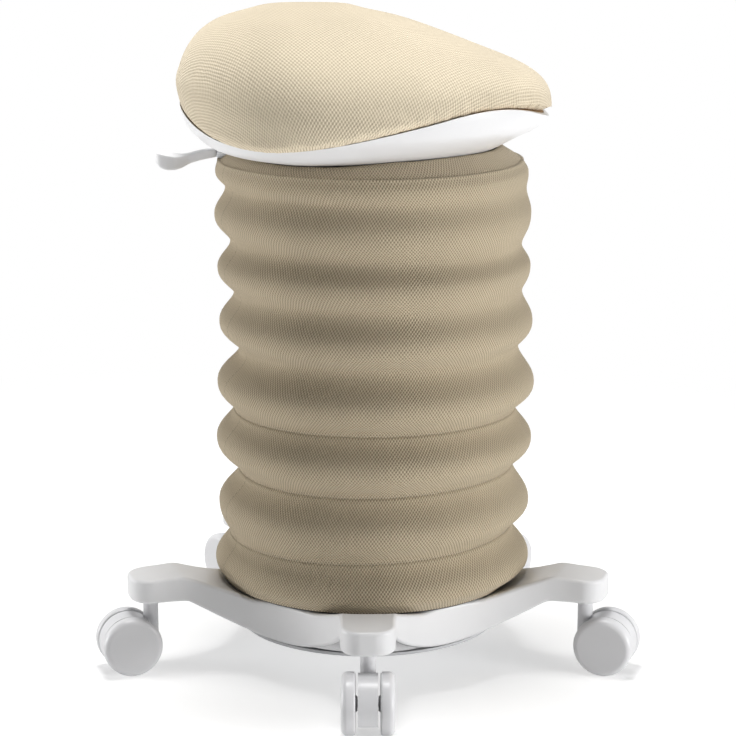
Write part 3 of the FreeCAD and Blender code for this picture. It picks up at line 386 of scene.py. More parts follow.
@dataclass(frozen=True)
class SpacerMesh:
    """Knitted spacer mesh: staggered pale loops over darker pits, laid by the piece's own UV in metres."""

    name: str
    loop: tuple
    pit: tuple
    ground: tuple
    across: float
    along: float
    depth: float
    contrast: float
    seam_at: float = -1.0
    drift: float = 0.0016
    drift_scale: float = 45.0
    fibre_scale: float = 1500.0
    mottle_scale: float = 22.0
    pit_power: float = 1.3
    seam_narrow: float = 0.0002
    seam_wide: float = 0.0014

    def material(self) -> bpy.types.Material:
        """Build the material."""
        sheet = NodeSheet(self.name)
        nodes = sheet.tree.nodes
        lay = nodes.new("ShaderNodeUVMap")
        lay.uv_map = "lay"
        warp = nodes.new("ShaderNodeTexNoise")
        warp.inputs["Scale"].default_value = self.drift_scale
        warp.inputs["Detail"].default_value = 2.0
        sheet.link(lay.outputs["UV"], warp.inputs["Vector"])
        parts = nodes.new("ShaderNodeSeparateXYZ")
        sheet.link(lay.outputs["UV"], parts.inputs[0])
        drift = sheet.math("MULTIPLY", sheet.math("SUBTRACT", warp.outputs["Fac"], 0.5), self.drift)
        across = sheet.math("ADD", parts.outputs["X"], drift)
        along = sheet.math("ADD", parts.outputs["Y"], drift)
        column = sheet.math("SINE", sheet.math("MULTIPLY", across, 2 * math.pi / self.across))
        row = sheet.math("SINE", sheet.math("MULTIPLY", along, math.pi / self.along))
        woven = sheet.math("MULTIPLY", column, row)
        loops = sheet.spread(woven, -0.75, 0.75)
        fibre = nodes.new("ShaderNodeTexNoise")
        fibre.inputs["Scale"].default_value = self.fibre_scale
        fibre.inputs["Detail"].default_value = 3.0
        sheet.link(lay.outputs["UV"], fibre.inputs["Vector"])
        mottle = sheet.spread(sheet.noise(self.mottle_scale, 3.0), 0.3, 0.7)
        pale = sheet.blend(mottle, shade(self.loop, 0.93), self.loop)
        pale = sheet.blend(sheet.spread(fibre.outputs["Fac"], 0.3, 0.75, 0.0, 0.35), pale, self.ground)
        share = sheet.math("SUBTRACT", 1.0, loops, True)
        share = sheet.math("MULTIPLY", sheet.math("POWER", share, self.pit_power), self.contrast, True)
        colour = sheet.blend(share, pale, self.pit)
        height = sheet.math("ADD", loops, sheet.math("MULTIPLY", fibre.outputs["Fac"], 0.25))
        if self.seam_at >= 0:
            aside = sheet.math("ABSOLUTE", sheet.math("SUBTRACT", parts.outputs["X"], self.seam_at))
            groove = sheet.spread(aside, self.seam_narrow, self.seam_wide, 1.0, 0.0)
            colour = sheet.blend(sheet.math("MULTIPLY", groove, 0.55), colour, self.pit)
            height = sheet.math("SUBTRACT", height, sheet.math("MULTIPLY", groove, 1.2))
        sheet.link(colour, sheet.shader.inputs["Base Color"])
        sheet.bump(height, self.depth, 0.7)
        sheet.set(
            Roughness=0.92,
            Sheen_Weight=0.18,
            Sheen_Roughness=0.45,
            Sheen_Tint=(1.0, 0.95, 0.86, 1.0),
            Specular_IOR_Level=0.25,
        )
        return sheet.material


@dataclass
class Finishes:
    """All finishes of the stool, one for each slot."""

    made: dict = field(default_factory=dict)

    def build(self) -> None:
        """Make every material once."""
        recipes = {
            Slot.STEEL: Metal("turned_steel", (0.62, 0.63, 0.65, 1.0), 0.28),
            Slot.CAST: Metal("cast_metal", (0.42, 0.43, 0.44, 1.0), 0.5, marks=(1.0, 1.0, 1.0)),
            Slot.WHITE: Moulded("white_shell_plastic", linear(236, 236, 237), 0.36, coat=0.08),
            Slot.GREY: Moulded("grey_plastic", linear(205, 206, 208), 0.36),
            Slot.CASTER: Moulded("caster_plastic", linear(229, 229, 231), 0.34, coat=0.1),
            Slot.BLACK: Moulded("black_plastic", linear(32, 32, 34), 0.45),
            Slot.PAINTED: Metal("painted_steel", (0.035, 0.036, 0.038, 1.0), 0.4, 0.0, (1.0, 1.0, 1.0)),
            Slot.RUBBER: Soft("rubber", linear(40, 40, 42), 0.8, 500.0, 0.0001),
            Slot.BOARD: Soft("seat_board", linear(176, 142, 100), 0.75, 60.0, 0.0002, (1.0, 9.0, 9.0)),
            Slot.NYLON: Soft("nylon", linear(215, 212, 200), 0.5, 300.0, 0.00003),
            Slot.SEAT_CLOTH: SpacerMesh(
                "seat_cloth",
                loop=linear(244, 230, 203),
                pit=linear(158, 136, 100),
                ground=linear(252, 244, 226),
                across=0.0031,
                along=0.0021,
                depth=0.0007,
                contrast=0.5,
            ),
            Slot.BELLOWS_CLOTH: SpacerMesh(
                "bellows_cloth",
                loop=linear(208, 192, 164),
                pit=linear(104, 90, 66),
                ground=linear(236, 224, 200),
                across=0.0027,
                along=0.0019,
                depth=0.0007,
                contrast=0.7,
                seam_at=0.0,
            ),
        }
        for slot, recipe in recipes.items():
            self.made[slot] = recipe.material()

    def of(self, slot: Slot) -> bpy.types.Material:
        """The material of a slot."""
        return self.made[slot]


# Cushion


@dataclass
class Cushion:
    """Saddle cushion: foam swollen under a taut cloth that tucks in at the shell's rim."""

    finishes: Finishes
    voxel: float = 0.003
    inset: float = 0.0016
    pressure: float = 4.0
    swell_limit: float = 0.004
    smoothing: int = 8
    tuck_from: float = 0.3
    swell_frames: int = 20
    cloth_mass: float = 0.3
    stretch_stiffness: float = 20.0
    shear_stiffness: float = 8.0
    bending_stiffness: float = 6.0
    hidden_below: float = -0.75
    least_turn: float = 0.25

    def build(self) -> None:
        """Make the cushion from the foam block, pull it in, let it swell, lay the cloth on it."""
        source = frame["nodes"]["seat_cushion"]
        piece = bpy.data.objects.new("cushion", source.data.copy())
        bpy.context.scene.collection.objects.link(piece)
        with editing(piece):
            bpy.ops.mesh.select_all(action="SELECT")
            bpy.ops.mesh.remove_doubles(threshold=1e-5)
        apply_modifier(piece, "REMESH", mode="VOXEL", voxel_size=self.voxel, adaptivity=0.0)
        apply_modifier(piece, "SMOOTH", factor=0.5, iterations=self.smoothing)
        apply_modifier(piece, "DISPLACE", strength=-self.inset, mid_level=0.0)
        self.swell(piece)
        self.tuck(piece, source)
        apply_modifier(piece, "SMOOTH", factor=0.5, iterations=2)
        activate(piece)
        bpy.ops.object.shade_smooth()
        self.lay_cloth(piece)
        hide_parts("seat_cushion")
        finish_piece(piece, "seat", self.finishes.of(Slot.SEAT_CLOTH))

    def swell(self, piece: bpy.types.Object) -> None:
        """Inflate the cloth over the foam and cap how far a point moves."""
        rest = points_of(piece)
        activate(piece)
        cloth = piece.modifiers.new("Cloth", "CLOTH")
        cloth.settings.quality = 4
        cloth.settings.mass = self.cloth_mass
        cloth.settings.tension_stiffness = self.stretch_stiffness
        cloth.settings.compression_stiffness = self.stretch_stiffness
        cloth.settings.shear_stiffness = self.shear_stiffness
        cloth.settings.bending_stiffness = self.bending_stiffness
        cloth.settings.use_pressure = True
        cloth.settings.uniform_pressure_force = self.pressure
        cloth.settings.effector_weights.gravity = 0.0
        cloth.collision_settings.use_collision = False
        scene = bpy.context.scene
        for number in range(1, self.swell_frames + 1):
            scene.frame_set(number)
        swollen = piece.evaluated_get(bpy.context.evaluated_depsgraph_get())
        mesh = bpy.data.meshes.new_from_object(swollen)
        moved = np.empty(len(mesh.vertices) * 3)
        mesh.vertices.foreach_get("co", moved)
        moved = moved.reshape(-1, 3)
        piece.modifiers.remove(cloth)
        bpy.data.meshes.remove(mesh)
        scene.frame_set(1)
        step = moved - rest
        far = np.linalg.norm(step, axis=1, keepdims=True)
        step *= np.minimum(1.0, self.swell_limit / np.maximum(far, 1e-9))
        put_points(piece, rest + step)
        LOG.info("cushion swells by %.1f mm at most", float(np.linalg.norm(step, axis=1).max()) * 1000)

    def tuck(self, piece: bpy.types.Object, block: bpy.types.Object) -> None:
        """Pull the cloth's lower band back onto the foam block, where it is stapled at the rim."""
        tree = surface_of(block.data)
        for vertex in piece.data.vertices:
            place, normal = tree.find_nearest(vertex.co)[:2]
            hold = min(1.0, max(0.0, (self.tuck_from - normal.z) / self.tuck_from))
            vertex.co = vertex.co.lerp(place, hold)
        piece.data.update()

    def lay_cloth(self, piece: bpy.types.Object) -> None:
        """Lay the cloth's grain over the cushion, in metres, so that its loops keep their size.

        The grain turns over the edge with the surface. Both fields are fitted to it: along each
        edge they grow by its length along the grain.
        """
        mesh = piece.data
        places = points_of(piece)
        normals = np.empty(len(mesh.vertices) * 3)
        mesh.vertices.foreach_get("normal", normals)
        normals = normals.reshape(-1, 3)
        edges = np.empty(len(mesh.edges) * 2, dtype=np.int64)
        mesh.edges.foreach_get("vertices", edges)
        start, stop = edges.reshape(-1, 2).T
        line = places[stop] - places[start]
        lowest = np.minimum(normals[start, 2], normals[stop, 2])
        weight = np.where(lowest < self.hidden_below, 0.01, 1.0)
        fields = []
        upright = np.maximum(1.0 + normals[:, 2], self.least_turn)
        for axis in (0, 1):
            grain = -normals * (normals[:, axis] / upright)[:, None]
            grain[:, 2] = -normals[:, axis]
            grain[:, axis] += 1.0
            wanted = ((grain[start] + grain[stop]) / 2 * line).sum(1)
            fields.append(fit_field(len(places), start, stop, wanted, weight, places[:, axis]))
        lay_uv(mesh, fields[0], fields[1])


def fit_field(
    count: int, start: np.ndarray, stop: np.ndarray, wanted: np.ndarray, weight: np.ndarray, guess: np.ndarray
) -> np.ndarray:
    """Find values at the vertices whose differences along the edges come closest to those wanted.

    Args:
        count: Number of vertices.
        start: First vertex of each edge.
        stop: Second vertex of each edge.
        wanted: Difference wanted along each edge.
        weight: Weight of each edge.
        guess: Values to start from.

    Returns:
        The value at each vertex.
    """

    def pull(values: np.ndarray) -> np.ndarray:
        """Weighted differences along the edges, gathered at the vertices."""
        flow = weight * values
        return np.bincount(stop, flow, count) - np.bincount(start, flow, count)

    values = guess.copy()
    rest = pull(wanted - (values[stop] - values[start]))
    way = rest.copy()
    old = float(rest @ rest)
    for _ in range(400):
        push = pull(way[stop] - way[start])
        step = old / max(float(way @ push), 1e-30)
        values += step * way
        rest -= step * push
        new = float(rest @ rest)
        if new < 1e-14:
            break
        way = rest + (new / old) * way
        old = new
    return values


def lay_uv(mesh: bpy.types.Mesh, across: np.ndarray, along: np.ndarray) -> None:
    """Write two fields at the vertices into the mesh's UV map."""
    layer = mesh.uv_layers.get("lay") or mesh.uv_layers.new(name="lay")
    corners = np.empty(len(mesh.loops), dtype=np.int64)
    mesh.loops.foreach_get("vertex_index", corners)
    values = np.stack([across[corners], along[corners]], axis=1)
    layer.data.foreach_set("uv", values.astype(np.float32).ravel())


def lay_round(mesh: bpy.types.Mesh, sides: int, begin: float, width: float, climb: Sequence) -> None:
    """Lay cloth round a piece that was extruded ring by ring from a circle.

    Args:
        mesh: Its mesh, with the vertices in order round each ring.
        sides: Vertices in a ring.
        begin: Where the cloth begins at the first column, in metres.
        width: Length of cloth that goes round, in metres.
        climb: Length of cloth up to each ring, in metres.
    """
    layer = mesh.uv_layers.new(name="lay")
    for face in mesh.polygons:
        columns = [corner % sides for corner in face.vertices]
        wraps = max(columns) - min(columns) > sides / 2
        for loop, corner, column in zip(face.loop_indices, face.vertices, columns):
            turned = column + sides if wraps and column == 0 else column
            layer.data[loop].uv = (begin + turned / sides * width, climb[corner // sides])


# Bellows


@dataclass(frozen=True)
class Ring:
    """One level of the bellows: height, radius, how far it leans along X, and its tilt along X."""

    height: float
    radius: float
    lean: float
    tilt: float = 0.0


def draw_rings(name: str, rings: Sequence, sides: int, turn: float = 0.0) -> bpy.types.Object:
    """Extrude a circle from ring to ring.

    Args:
        name: Name of the new piece.
        rings: Its levels, from the lowest up.
        sides: Vertices in a ring.
        turn: Angle of the first column.

    Returns:
        The open wall of the piece.
    """
    last = rings[0]
    deselect()
    bpy.ops.mesh.primitive_circle_add(
        vertices=sides,
        radius=last.radius * MM,
        location=(last.lean * MM, 0.0, last.height * MM),
        rotation=(0.0, 0.0, turn),
    )
    wall = bpy.context.active_object
    wall.name = name
    settle(wall)
    with editing(wall):
        bpy.ops.mesh.select_all(action="SELECT")
        for ring in rings[1:]:
            step = ((ring.lean - last.lean) * MM, 0.0, (ring.height - last.height) * MM)
            bpy.ops.mesh.extrude_region_move(TRANSFORM_OT_translate={"value": step})
            grow = ring.radius / last.radius
            middle = (ring.lean * MM, 0.0, ring.height * MM)
            bpy.ops.transform.resize(value=(grow, grow, 1.0), center_override=middle)
            last = ring
        bpy.ops.mesh.select_all(action="SELECT")
        bpy.ops.mesh.normals_make_consistent(inside=False)
    return wall


@dataclass
class Bellows:
    """Fabric sleeve with eight soft folds between its foot and the seat, held by wire hoops."""

    finishes: Finishes
    sides: int = 176
    cloth: float = 4.5
    foot: Ring = Ring(68.8, 124.2, 0.0)
    peaks: tuple = (
        Ring(84.0, 134.0, 3.5),
        Ring(134.0, 132.6, 4.5),
        Ring(189.0, 133.6, 5.6),
        Ring(238.5, 133.2, 6.2),
        Ring(290.0, 132.0, 6.6),
        Ring(336.0, 131.4, 5.2),
        Ring(380.0, 131.8, 4.0),
        Ring(415.0, 129.8, 3.0),
    )
    valleys: tuple = (
        Ring(109.5, 120.8, 1.6, 3.0),
        Ring(163.5, 116.8, 6.8, 2.2),
        Ring(215.0, 118.9, 5.6, 0.8),
        Ring(267.0, 117.4, 8.6, 1.2),
        Ring(314.0, 121.4, 8.4, 0.0),
        Ring(355.5, 121.8, 7.0, -2.0),
        Ring(401.0, 124.9, 6.2, 0.0),
    )
    top: Ring = Ring(424.5, 127.0, 2.0)
    rings_up: int = 9
    rings_down: int = 8
    seam_turn: float = math.radians(201.0)
    cuts: tuple = (109.5, 163.5, 215.0)
    lift_range: float = 0.1
    width: float = 2 * math.pi * 0.1305
    lower_bulge: float = 1.4
    hoop_wire: float = 1.6
    hoop_gap: float = 1.0
    hoop_drop: float = 4.0
    crimp_radius: float = 2.1
    crimp_length: float = 16.0

    def levels(self) -> list:
        """All rings of the sleeve, from its foot to its top."""
        rings = [self.foot]
        lows = [self.foot, *self.valleys]
        highs = [*self.valleys, self.top]
        for low, peak, high in zip(lows, self.peaks, highs):
            for step in range(1, self.rings_down + 1):
                share = 1 - step / self.rings_down
                rings.append(self.between(peak, low, share, share**self.lower_bulge))
            for step in range(1, self.rings_up + 1):
                share = step / self.rings_up
                rings.append(self.between(peak, high, share, share))
        return rings

    def between(self, peak: Ring, valley: Ring, share: float, bend: float) -> Ring:
        """A ring on the rounded flank between a fold's peak and a valley."""
        fall = (1 - math.cos(math.pi * bend)) / 2
        return Ring(
            peak.height + (valley.height - peak.height) * share,
            peak.radius + (valley.radius - peak.radius) * fall,
            peak.lean + (valley.lean - peak.lean) * fall,
            peak.tilt + (valley.tilt - peak.tilt) * share,
        )

    def build(self) -> None:
        """Draw the sleeve ring by ring, soften it, cut it at the joints and dress its parts; the foot rides
        on the base and the upper part on the column.
        """
        sleeve = draw_rings("bellows_sleeve", self.levels(), self.sides, self.seam_turn - math.pi / 2)
        self.ripple(sleeve)
        self.lay_cloth(sleeve)
        parts = self.cut(sleeve)
        for part in parts:
            apply_modifier(part, "SOLIDIFY", thickness=self.cloth * MM, offset=-1.0, use_even_offset=False)
            activate(part)
            bpy.ops.object.shade_smooth()
        self.declare(parts)
        self.hoops()

    def ripple(self, sleeve: bpy.types.Object) -> None:
        """Tilt the valleys a little and let the folds wander as sewn cloth does."""
        places = points_of(sleeve)
        levels = self.levels()
        heights = np.array([ring.height for ring in levels]) * MM
        tilts = np.array([ring.tilt for ring in levels]) * MM
        leans = np.array([ring.lean for ring in levels]) * MM
        level = places[:, 2].copy()
        lean = np.interp(level, heights, leans)
        across = places[:, 0] - lean
        turn = np.arctan2(places[:, 1], across)
        out = np.hypot(across, places[:, 1])
        low, high = self.foot.height * MM, self.top.height * MM
        hold = np.clip((level - low) / 0.02, 0, 1) * np.clip((high - level) / 0.02, 0, 1)
        phase = level / 0.05
        swing = np.sin(2 * turn + 1.7 * phase) * 0.55 + np.sin(3 * turn - 2.3 * phase + 1.0) * 0.4
        swing += np.sin(5 * turn + 3.1 * phase + 0.4) * 0.22
        fresh = out + hold * swing * 0.9 * MM
        rise = np.interp(level, heights, tilts) * np.cos(turn)
        rise += hold * (np.sin(turn - 0.6 + 1.3 * phase) * 0.8 + np.sin(2 * turn + 0.9 * phase) * 0.6) * MM
        places[:, 0] = lean + fresh * np.cos(turn)
        places[:, 1] = fresh * np.sin(turn)
        places[:, 2] = level + rise
        put_points(sleeve, places)

    def lay_cloth(self, sleeve: bpy.types.Object) -> None:
        """Lay the cloth round the sleeve from its side seam, and up along its folds, in metres."""
        grid = points_of(sleeve).reshape(-1, self.sides, 3)
        steps = np.linalg.norm(np.diff(grid, axis=0), axis=2).mean(1)
        climb = np.concatenate([[0.0], np.cumsum(steps)])
        lay_round(sleeve.data, self.sides, 0.0, self.width, climb)

    def cut(self, sleeve: bpy.types.Object) -> list:
        """Separate the sleeve at the joints' levels.

        Returns:
            The parts from the lowest to the highest.
        """
        levels = [ring.height for ring in self.levels()]
        rows = [min(range(len(levels)), key=lambda i, h=height: abs(levels[i] - h)) for height in self.cuts]
        marks = np.unique(np.round(self.climb_of(sleeve), 6))
        assert len(marks) == len(levels), "the sleeve has one row of vertices for each level"
        parts = []
        rest = sleeve
        for row in rows:
            above = np.abs(self.climb_of(rest)[:, None] - marks[None, :]).argmin(1)
            select_faces(rest, lambda face, a=above, r=row: max(a[corner] for corner in face.vertices) <= r)
            with editing(rest, "FACE"):
                bpy.ops.mesh.separate(type="SELECTED")
            part = [thing for thing in bpy.context.selected_objects if thing != rest][0]
            parts.append(part)
        parts.append(rest)
        for part, name in zip(parts, ("bellows_foot", "bellows_rock_x", "bellows_rock_y", "bellows_upper")):
            part.name = name
        LOG.info("sleeve cut at rows %s", rows)
        return parts

    def climb_of(self, part: bpy.types.Object) -> np.ndarray:
        """Length of cloth up to each vertex of a part."""
        mesh = part.data
        climb = np.zeros(len(mesh.vertices))
        layer = mesh.uv_layers["lay"]
        for loop in mesh.loops:
            climb[loop.vertex_index] = layer.data[loop.index].uv[1]
        return climb

    def let_lift(self, piece: bpy.types.Object) -> None:
        """Give a piece a copy of its mesh of its own."""
        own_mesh(piece)

    def declare(self, parts: list) -> None:
        """Dress each part of the sleeve in its cloth; the foot rides on the base and the upper part on the
        column.
        """
        foot, rock_x, rock_y, upper = parts
        cloth = self.finishes.of(Slot.BELLOWS_CLOTH)
        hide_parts("bellows_foot_fold")
        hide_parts("bellows_tilt_x_fold")
        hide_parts("bellows_tilt_y_fold")
        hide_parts("bellows_upper_folds")
        finish_piece(foot, "base", cloth)
        dress(rock_x, cloth)
        dress(rock_y, cloth)
        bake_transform(rock_x)
        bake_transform(rock_y)
        finish_piece(upper, "column", cloth)
        self.let_lift(upper)

    def hoops(self) -> None:
        """Bend the wire hoops that hold the valleys from inside."""
        rest = (("hoop_foot", "base", 0), ("hoop_tilt", "gimbal", 1))
        for node, body, index in rest:
            piece = self.hoop(f"{node}_wire", self.valleys[index], self.hoop_drop)
            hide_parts(node)
            finish_piece(piece, body, self.finishes.of(Slot.STEEL))
        wires = [self.hoop(f"hoop_upper_{i}", ring, 0.0) for i, ring in enumerate(self.valleys[2:], start=1)]
        activate(wires[0])
        for wire in wires:
            wire.select_set(True)
        bpy.ops.object.join()
        joined = bpy.context.active_object
        joined.name = "hoops_upper_wires"
        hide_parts("hoops_upper")
        finish_piece(joined, "column", self.finishes.of(Slot.STEEL))
        self.let_lift(joined)

    def hoop(self, name: str, ring: Ring, drop: float) -> bpy.types.Object:
        """One wire hoop behind a valley, with the crimped sleeve that closes it."""
        deselect()
        middle = (ring.lean * MM, 0.0, (ring.height - drop) * MM)
        reach = ring.radius - self.cloth - self.hoop_wire - self.hoop_gap
        bpy.ops.mesh.primitive_torus_add(
            major_radius=reach * MM,
            minor_radius=self.hoop_wire * MM,
            major_segments=96,
            minor_segments=10,
            location=middle,
        )
        wire = bpy.context.active_object
        settle(wire)
        deselect()
        bpy.ops.mesh.primitive_cylinder_add(
            vertices=16,
            radius=self.crimp_radius * MM,
            depth=self.crimp_length * MM,
            location=(middle[0], reach * MM, middle[2]),
            rotation=(0.0, math.pi / 2, 0.0),
        )
        crimp = bpy.context.active_object
        apply_modifier(crimp, "BEVEL", width=0.6 * MM, segments=2)
        settle(crimp)
        activate(wire)
        crimp.select_set(True)
        bpy.ops.object.join()
        wire.name = name
        smooth(wire)
        return wire


@dataclass
class TopCollar:
    """Gathered collar between the sleeve and the seat shell, notched round the lever."""

    finishes: Finishes
    profile: tuple = (
        Ring(421.3, 127.5, 2.0),
        Ring(424.0, 125.5, 2.0),
        Ring(427.5, 121.0, 2.0),
        Ring(431.5, 114.5, 2.0),
        Ring(435.5, 108.5, 2.0),
        Ring(438.5, 105.0, 2.0),
    )
    sides: int = 176
    inner: float = 4.0
    notch_half: float = 8.5
    lay_begin: float = 0.05
    lay_width: float = 0.82
    lay_step: float = 0.0055
    flat: tuple = (2 * math.pi * 0.117, 0.0265)
    look_up_from: float = 0.40
    shell_gap: float = 0.0008

    def build(self) -> None:
        """Draw the collar under the shell, open it for the lever and let it ride on the seat."""
        collar = draw_rings("bellows_collar", self.profile, self.sides)
        climb = [step * self.lay_step for step in range(len(self.profile))]
        lay_round(collar.data, self.sides, self.lay_begin, self.lay_width, climb)
        self.open_notch(collar)
        self.clear_of_shell(collar)
        apply_modifier(collar, "SOLIDIFY", thickness=self.inner * MM, offset=-1.0, use_even_offset=False)
        activate(collar)
        bpy.ops.object.shade_smooth()
        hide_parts("bellows_top_ring")
        finish_piece(collar, "seat", self.finishes.of(Slot.BELLOWS_CLOTH))

    def open_notch(self, collar: bpy.types.Object) -> None:
        """Take out the faces in the lever's way."""
        select_faces(collar, lambda face: face.center.x < 0 and abs(face.center.y) < self.notch_half * MM)
        with editing(collar, "FACE"):
            bpy.ops.mesh.delete(type="FACE")

    def clear_of_shell(self, collar: bpy.types.Object) -> None:
        """Press the collar down where the shell's bowl comes lower than it."""
        shell = frame["nodes"]["seat_shell"].data
        tree = surface_of(shell)
        for vertex in collar.data.vertices:
            below = Vector((vertex.co.x, vertex.co.y, self.look_up_from))
            place = tree.ray_cast(below, Vector((0, 0, 1)))[0]
            if place is not None and vertex.co.z > place.z - self.shell_gap:
                vertex.co.z = place.z - self.shell_gap
        collar.data.update()


# Seat shell, base and casters


@dataclass
class MouldedParts:
    """Moulded, metal and rubber parts carried over from the frame, the shell's and cover's edges rounded."""

    finishes: Finishes
    rounded: tuple = (
        ("seat_shell", "shell", "seat", 0.0012),
        ("base_star", "star", "base", 0.0),
        ("base_cover", "star_cover", "base", 0.0004),
        ("cover_screws", "cover_fasteners", "base", 0.0),
        ("caster_stems", "stems", "base", 0.0),
        ("caster_collars", "collars", "base", 0.0002),
        ("bellows_foot_ring", "foot_ring", "base", 0.0),
    )

    def build(self) -> None:
        """Carry over the shell, the base and what stands in it."""
        for node, name, body, rounding in self.rounded:
            piece = carry_over(node, name, rounding)
            slot = slot_of(node)
            finish_piece(piece, body, self.finishes.of(slot))
        self.squeeze_buffer()

    def squeeze_buffer(self) -> None:
        """Cut the rubber ring at its waist into a lower and an upper half, each a piece of its own."""
        heights = points_of(frame["nodes"]["buffer_ring"])[:, 2]
        low, high = float(heights.min()), float(heights.max())
        waist = (low + high) / 2
        halves = (
            ("buffer_lower", "base", "gimbal", low, waist),
            ("buffer_upper", "gimbal", "column", waist, high),
        )
        for name, below, above, start, end in halves:
            piece = carry_over("buffer_ring", name)
            with editing(piece):
                bpy.ops.mesh.select_all(action="SELECT")
                bpy.ops.mesh.bisect(
                    plane_co=(0.0, 0.0, waist),
                    plane_no=(0.0, 0.0, 1.0),
                    use_fill=True,
                    clear_inner=start == waist,
                    clear_outer=end == waist,
                )
            dress(piece, self.finishes.of(Slot.RUBBER))
            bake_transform(piece)


@dataclass
class Casters:
    """Five casters: a hood and neck, an axle and two wheels with softly rounded faces."""

    finishes: Finishes
    count: int = 5

    def build(self) -> None:
        """Carry over the parts of each caster."""
        for number in range(1, self.count + 1):
            caster = f"caster_{number}"
            fork = carry_over(f"{caster}_fork", f"{caster}_hood", 0.0006)
            finish_piece(fork, caster, self.finishes.of(Slot.CASTER))
            for side in ("left", "right"):
                wheel = carry_over(f"{caster}_wheel_{side}", f"{caster}_tread_{side}", 0.0)
                finish_piece(wheel, f"{caster}_{side}_wheel", self.finishes.of(Slot.CASTER))


@dataclass(frozen=True)
class Station:
    """A cross section of the handle: lower and upper point in side view, and its half width."""

    low_x: float
    low_z: float
    high_x: float
    high_z: float
    half: float


@dataclass
class Handle:
    """Height lever's handle: a flat arm that widens into a scooped finger paddle."""

    finishes: Finishes
    stations: tuple = (
        Station(-125.3, 425.6, -125.3, 432.2, 6.4),
        Station(-137.0, 423.4, -137.4, 431.6, 6.4),
        Station(-147.5, 420.4, -149.5, 428.4, 6.8),
        Station(-153.5, 417.0, -155.0, 427.2, 10.2),
        Station(-159.5, 415.4, -160.0, 427.2, 12.8),
        Station(-166.0, 415.2, -166.2, 428.4, 13.3),
        Station(-172.0, 417.0, -171.4, 429.6, 12.2),
        Station(-175.6, 421.5, -175.2, 430.0, 9.4),
    )
    scoop_from: float = -152.0
    scoop_rim: float = 1.8
    scoop_depth: float = 2.4
    edge_round: float = 0.9

    def build(self) -> None:
        """Extrude the handle from its arm to its tip and round it off."""
        first = self.stations[0]
        deselect()
        bpy.ops.mesh.primitive_plane_add(size=1.0, rotation=(0.0, math.pi / 2, 0.0))
        piece = bpy.context.active_object
        piece.name = "finger_paddle"
        settle(piece)
        put_points(piece, self.corners(first))
        with editing(piece):
            bpy.ops.mesh.select_all(action="SELECT")
            for _ in self.stations[1:]:
                bpy.ops.mesh.extrude_region_move(TRANSFORM_OT_translate={"value": (-MM, 0.0, 0.0)})
        places = points_of(piece)
        order = np.argsort(-places[:, 0], kind="stable").reshape(len(self.stations), 4)
        for row, station in zip(order, self.stations):
            wanted = self.corners(station)
            for index in row:
                side = places[index, 1] > 0
                high = places[index, 2] > (first.low_z + first.high_z) / 2 * MM
                places[index] = wanted[(2 if high else 0) + (1 if side else 0)]
        put_points(piece, places)
        with editing(piece):
            bpy.ops.mesh.select_all(action="SELECT")
            bpy.ops.mesh.normals_make_consistent(inside=False)
            bpy.ops.mesh.bevel(offset=self.edge_round * MM, segments=1, affect="EDGES")
        select_faces(piece, lambda face: face.normal.z > 0.8 and face.center.x < self.scoop_from * MM)
        with editing(piece, "FACE"):
            bpy.ops.mesh.inset(thickness=self.scoop_rim * MM, depth=-self.scoop_depth * MM)
        apply_modifier(piece, "SUBSURF", levels=2, render_levels=2)
        activate(piece)
        bpy.ops.object.shade_smooth()
        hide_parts("lever_handle")
        finish_piece(piece, "lever", self.finishes.of(Slot.WHITE))

    def corners(self, station: Station) -> np.ndarray:
        """Corner places of a station: low left, low right, high left, high right."""
        return np.array(
            [
                (station.low_x, -station.half, station.low_z),
                (station.low_x, station.half, station.low_z),
                (station.high_x, -station.half, station.high_z),
                (station.high_x, station.half, station.high_z),
            ]
        ) * MM


# Remaining nodes


@dataclass
class PlainNodes:
    """Parts that keep their own mesh: each gets the finish of its slot."""

    finishes: Finishes

    def build(self) -> None:
        """Dress every node that still shows."""
        for name, node in frame["nodes"].items():
            if node.hide_render:
                continue
            slot = slot_of(name)
            node.data.materials.clear()
            node.data.materials.append(self.finishes.of(slot))
            LOG.info("%s keeps its mesh, %s", name, slot.value)


# Studio


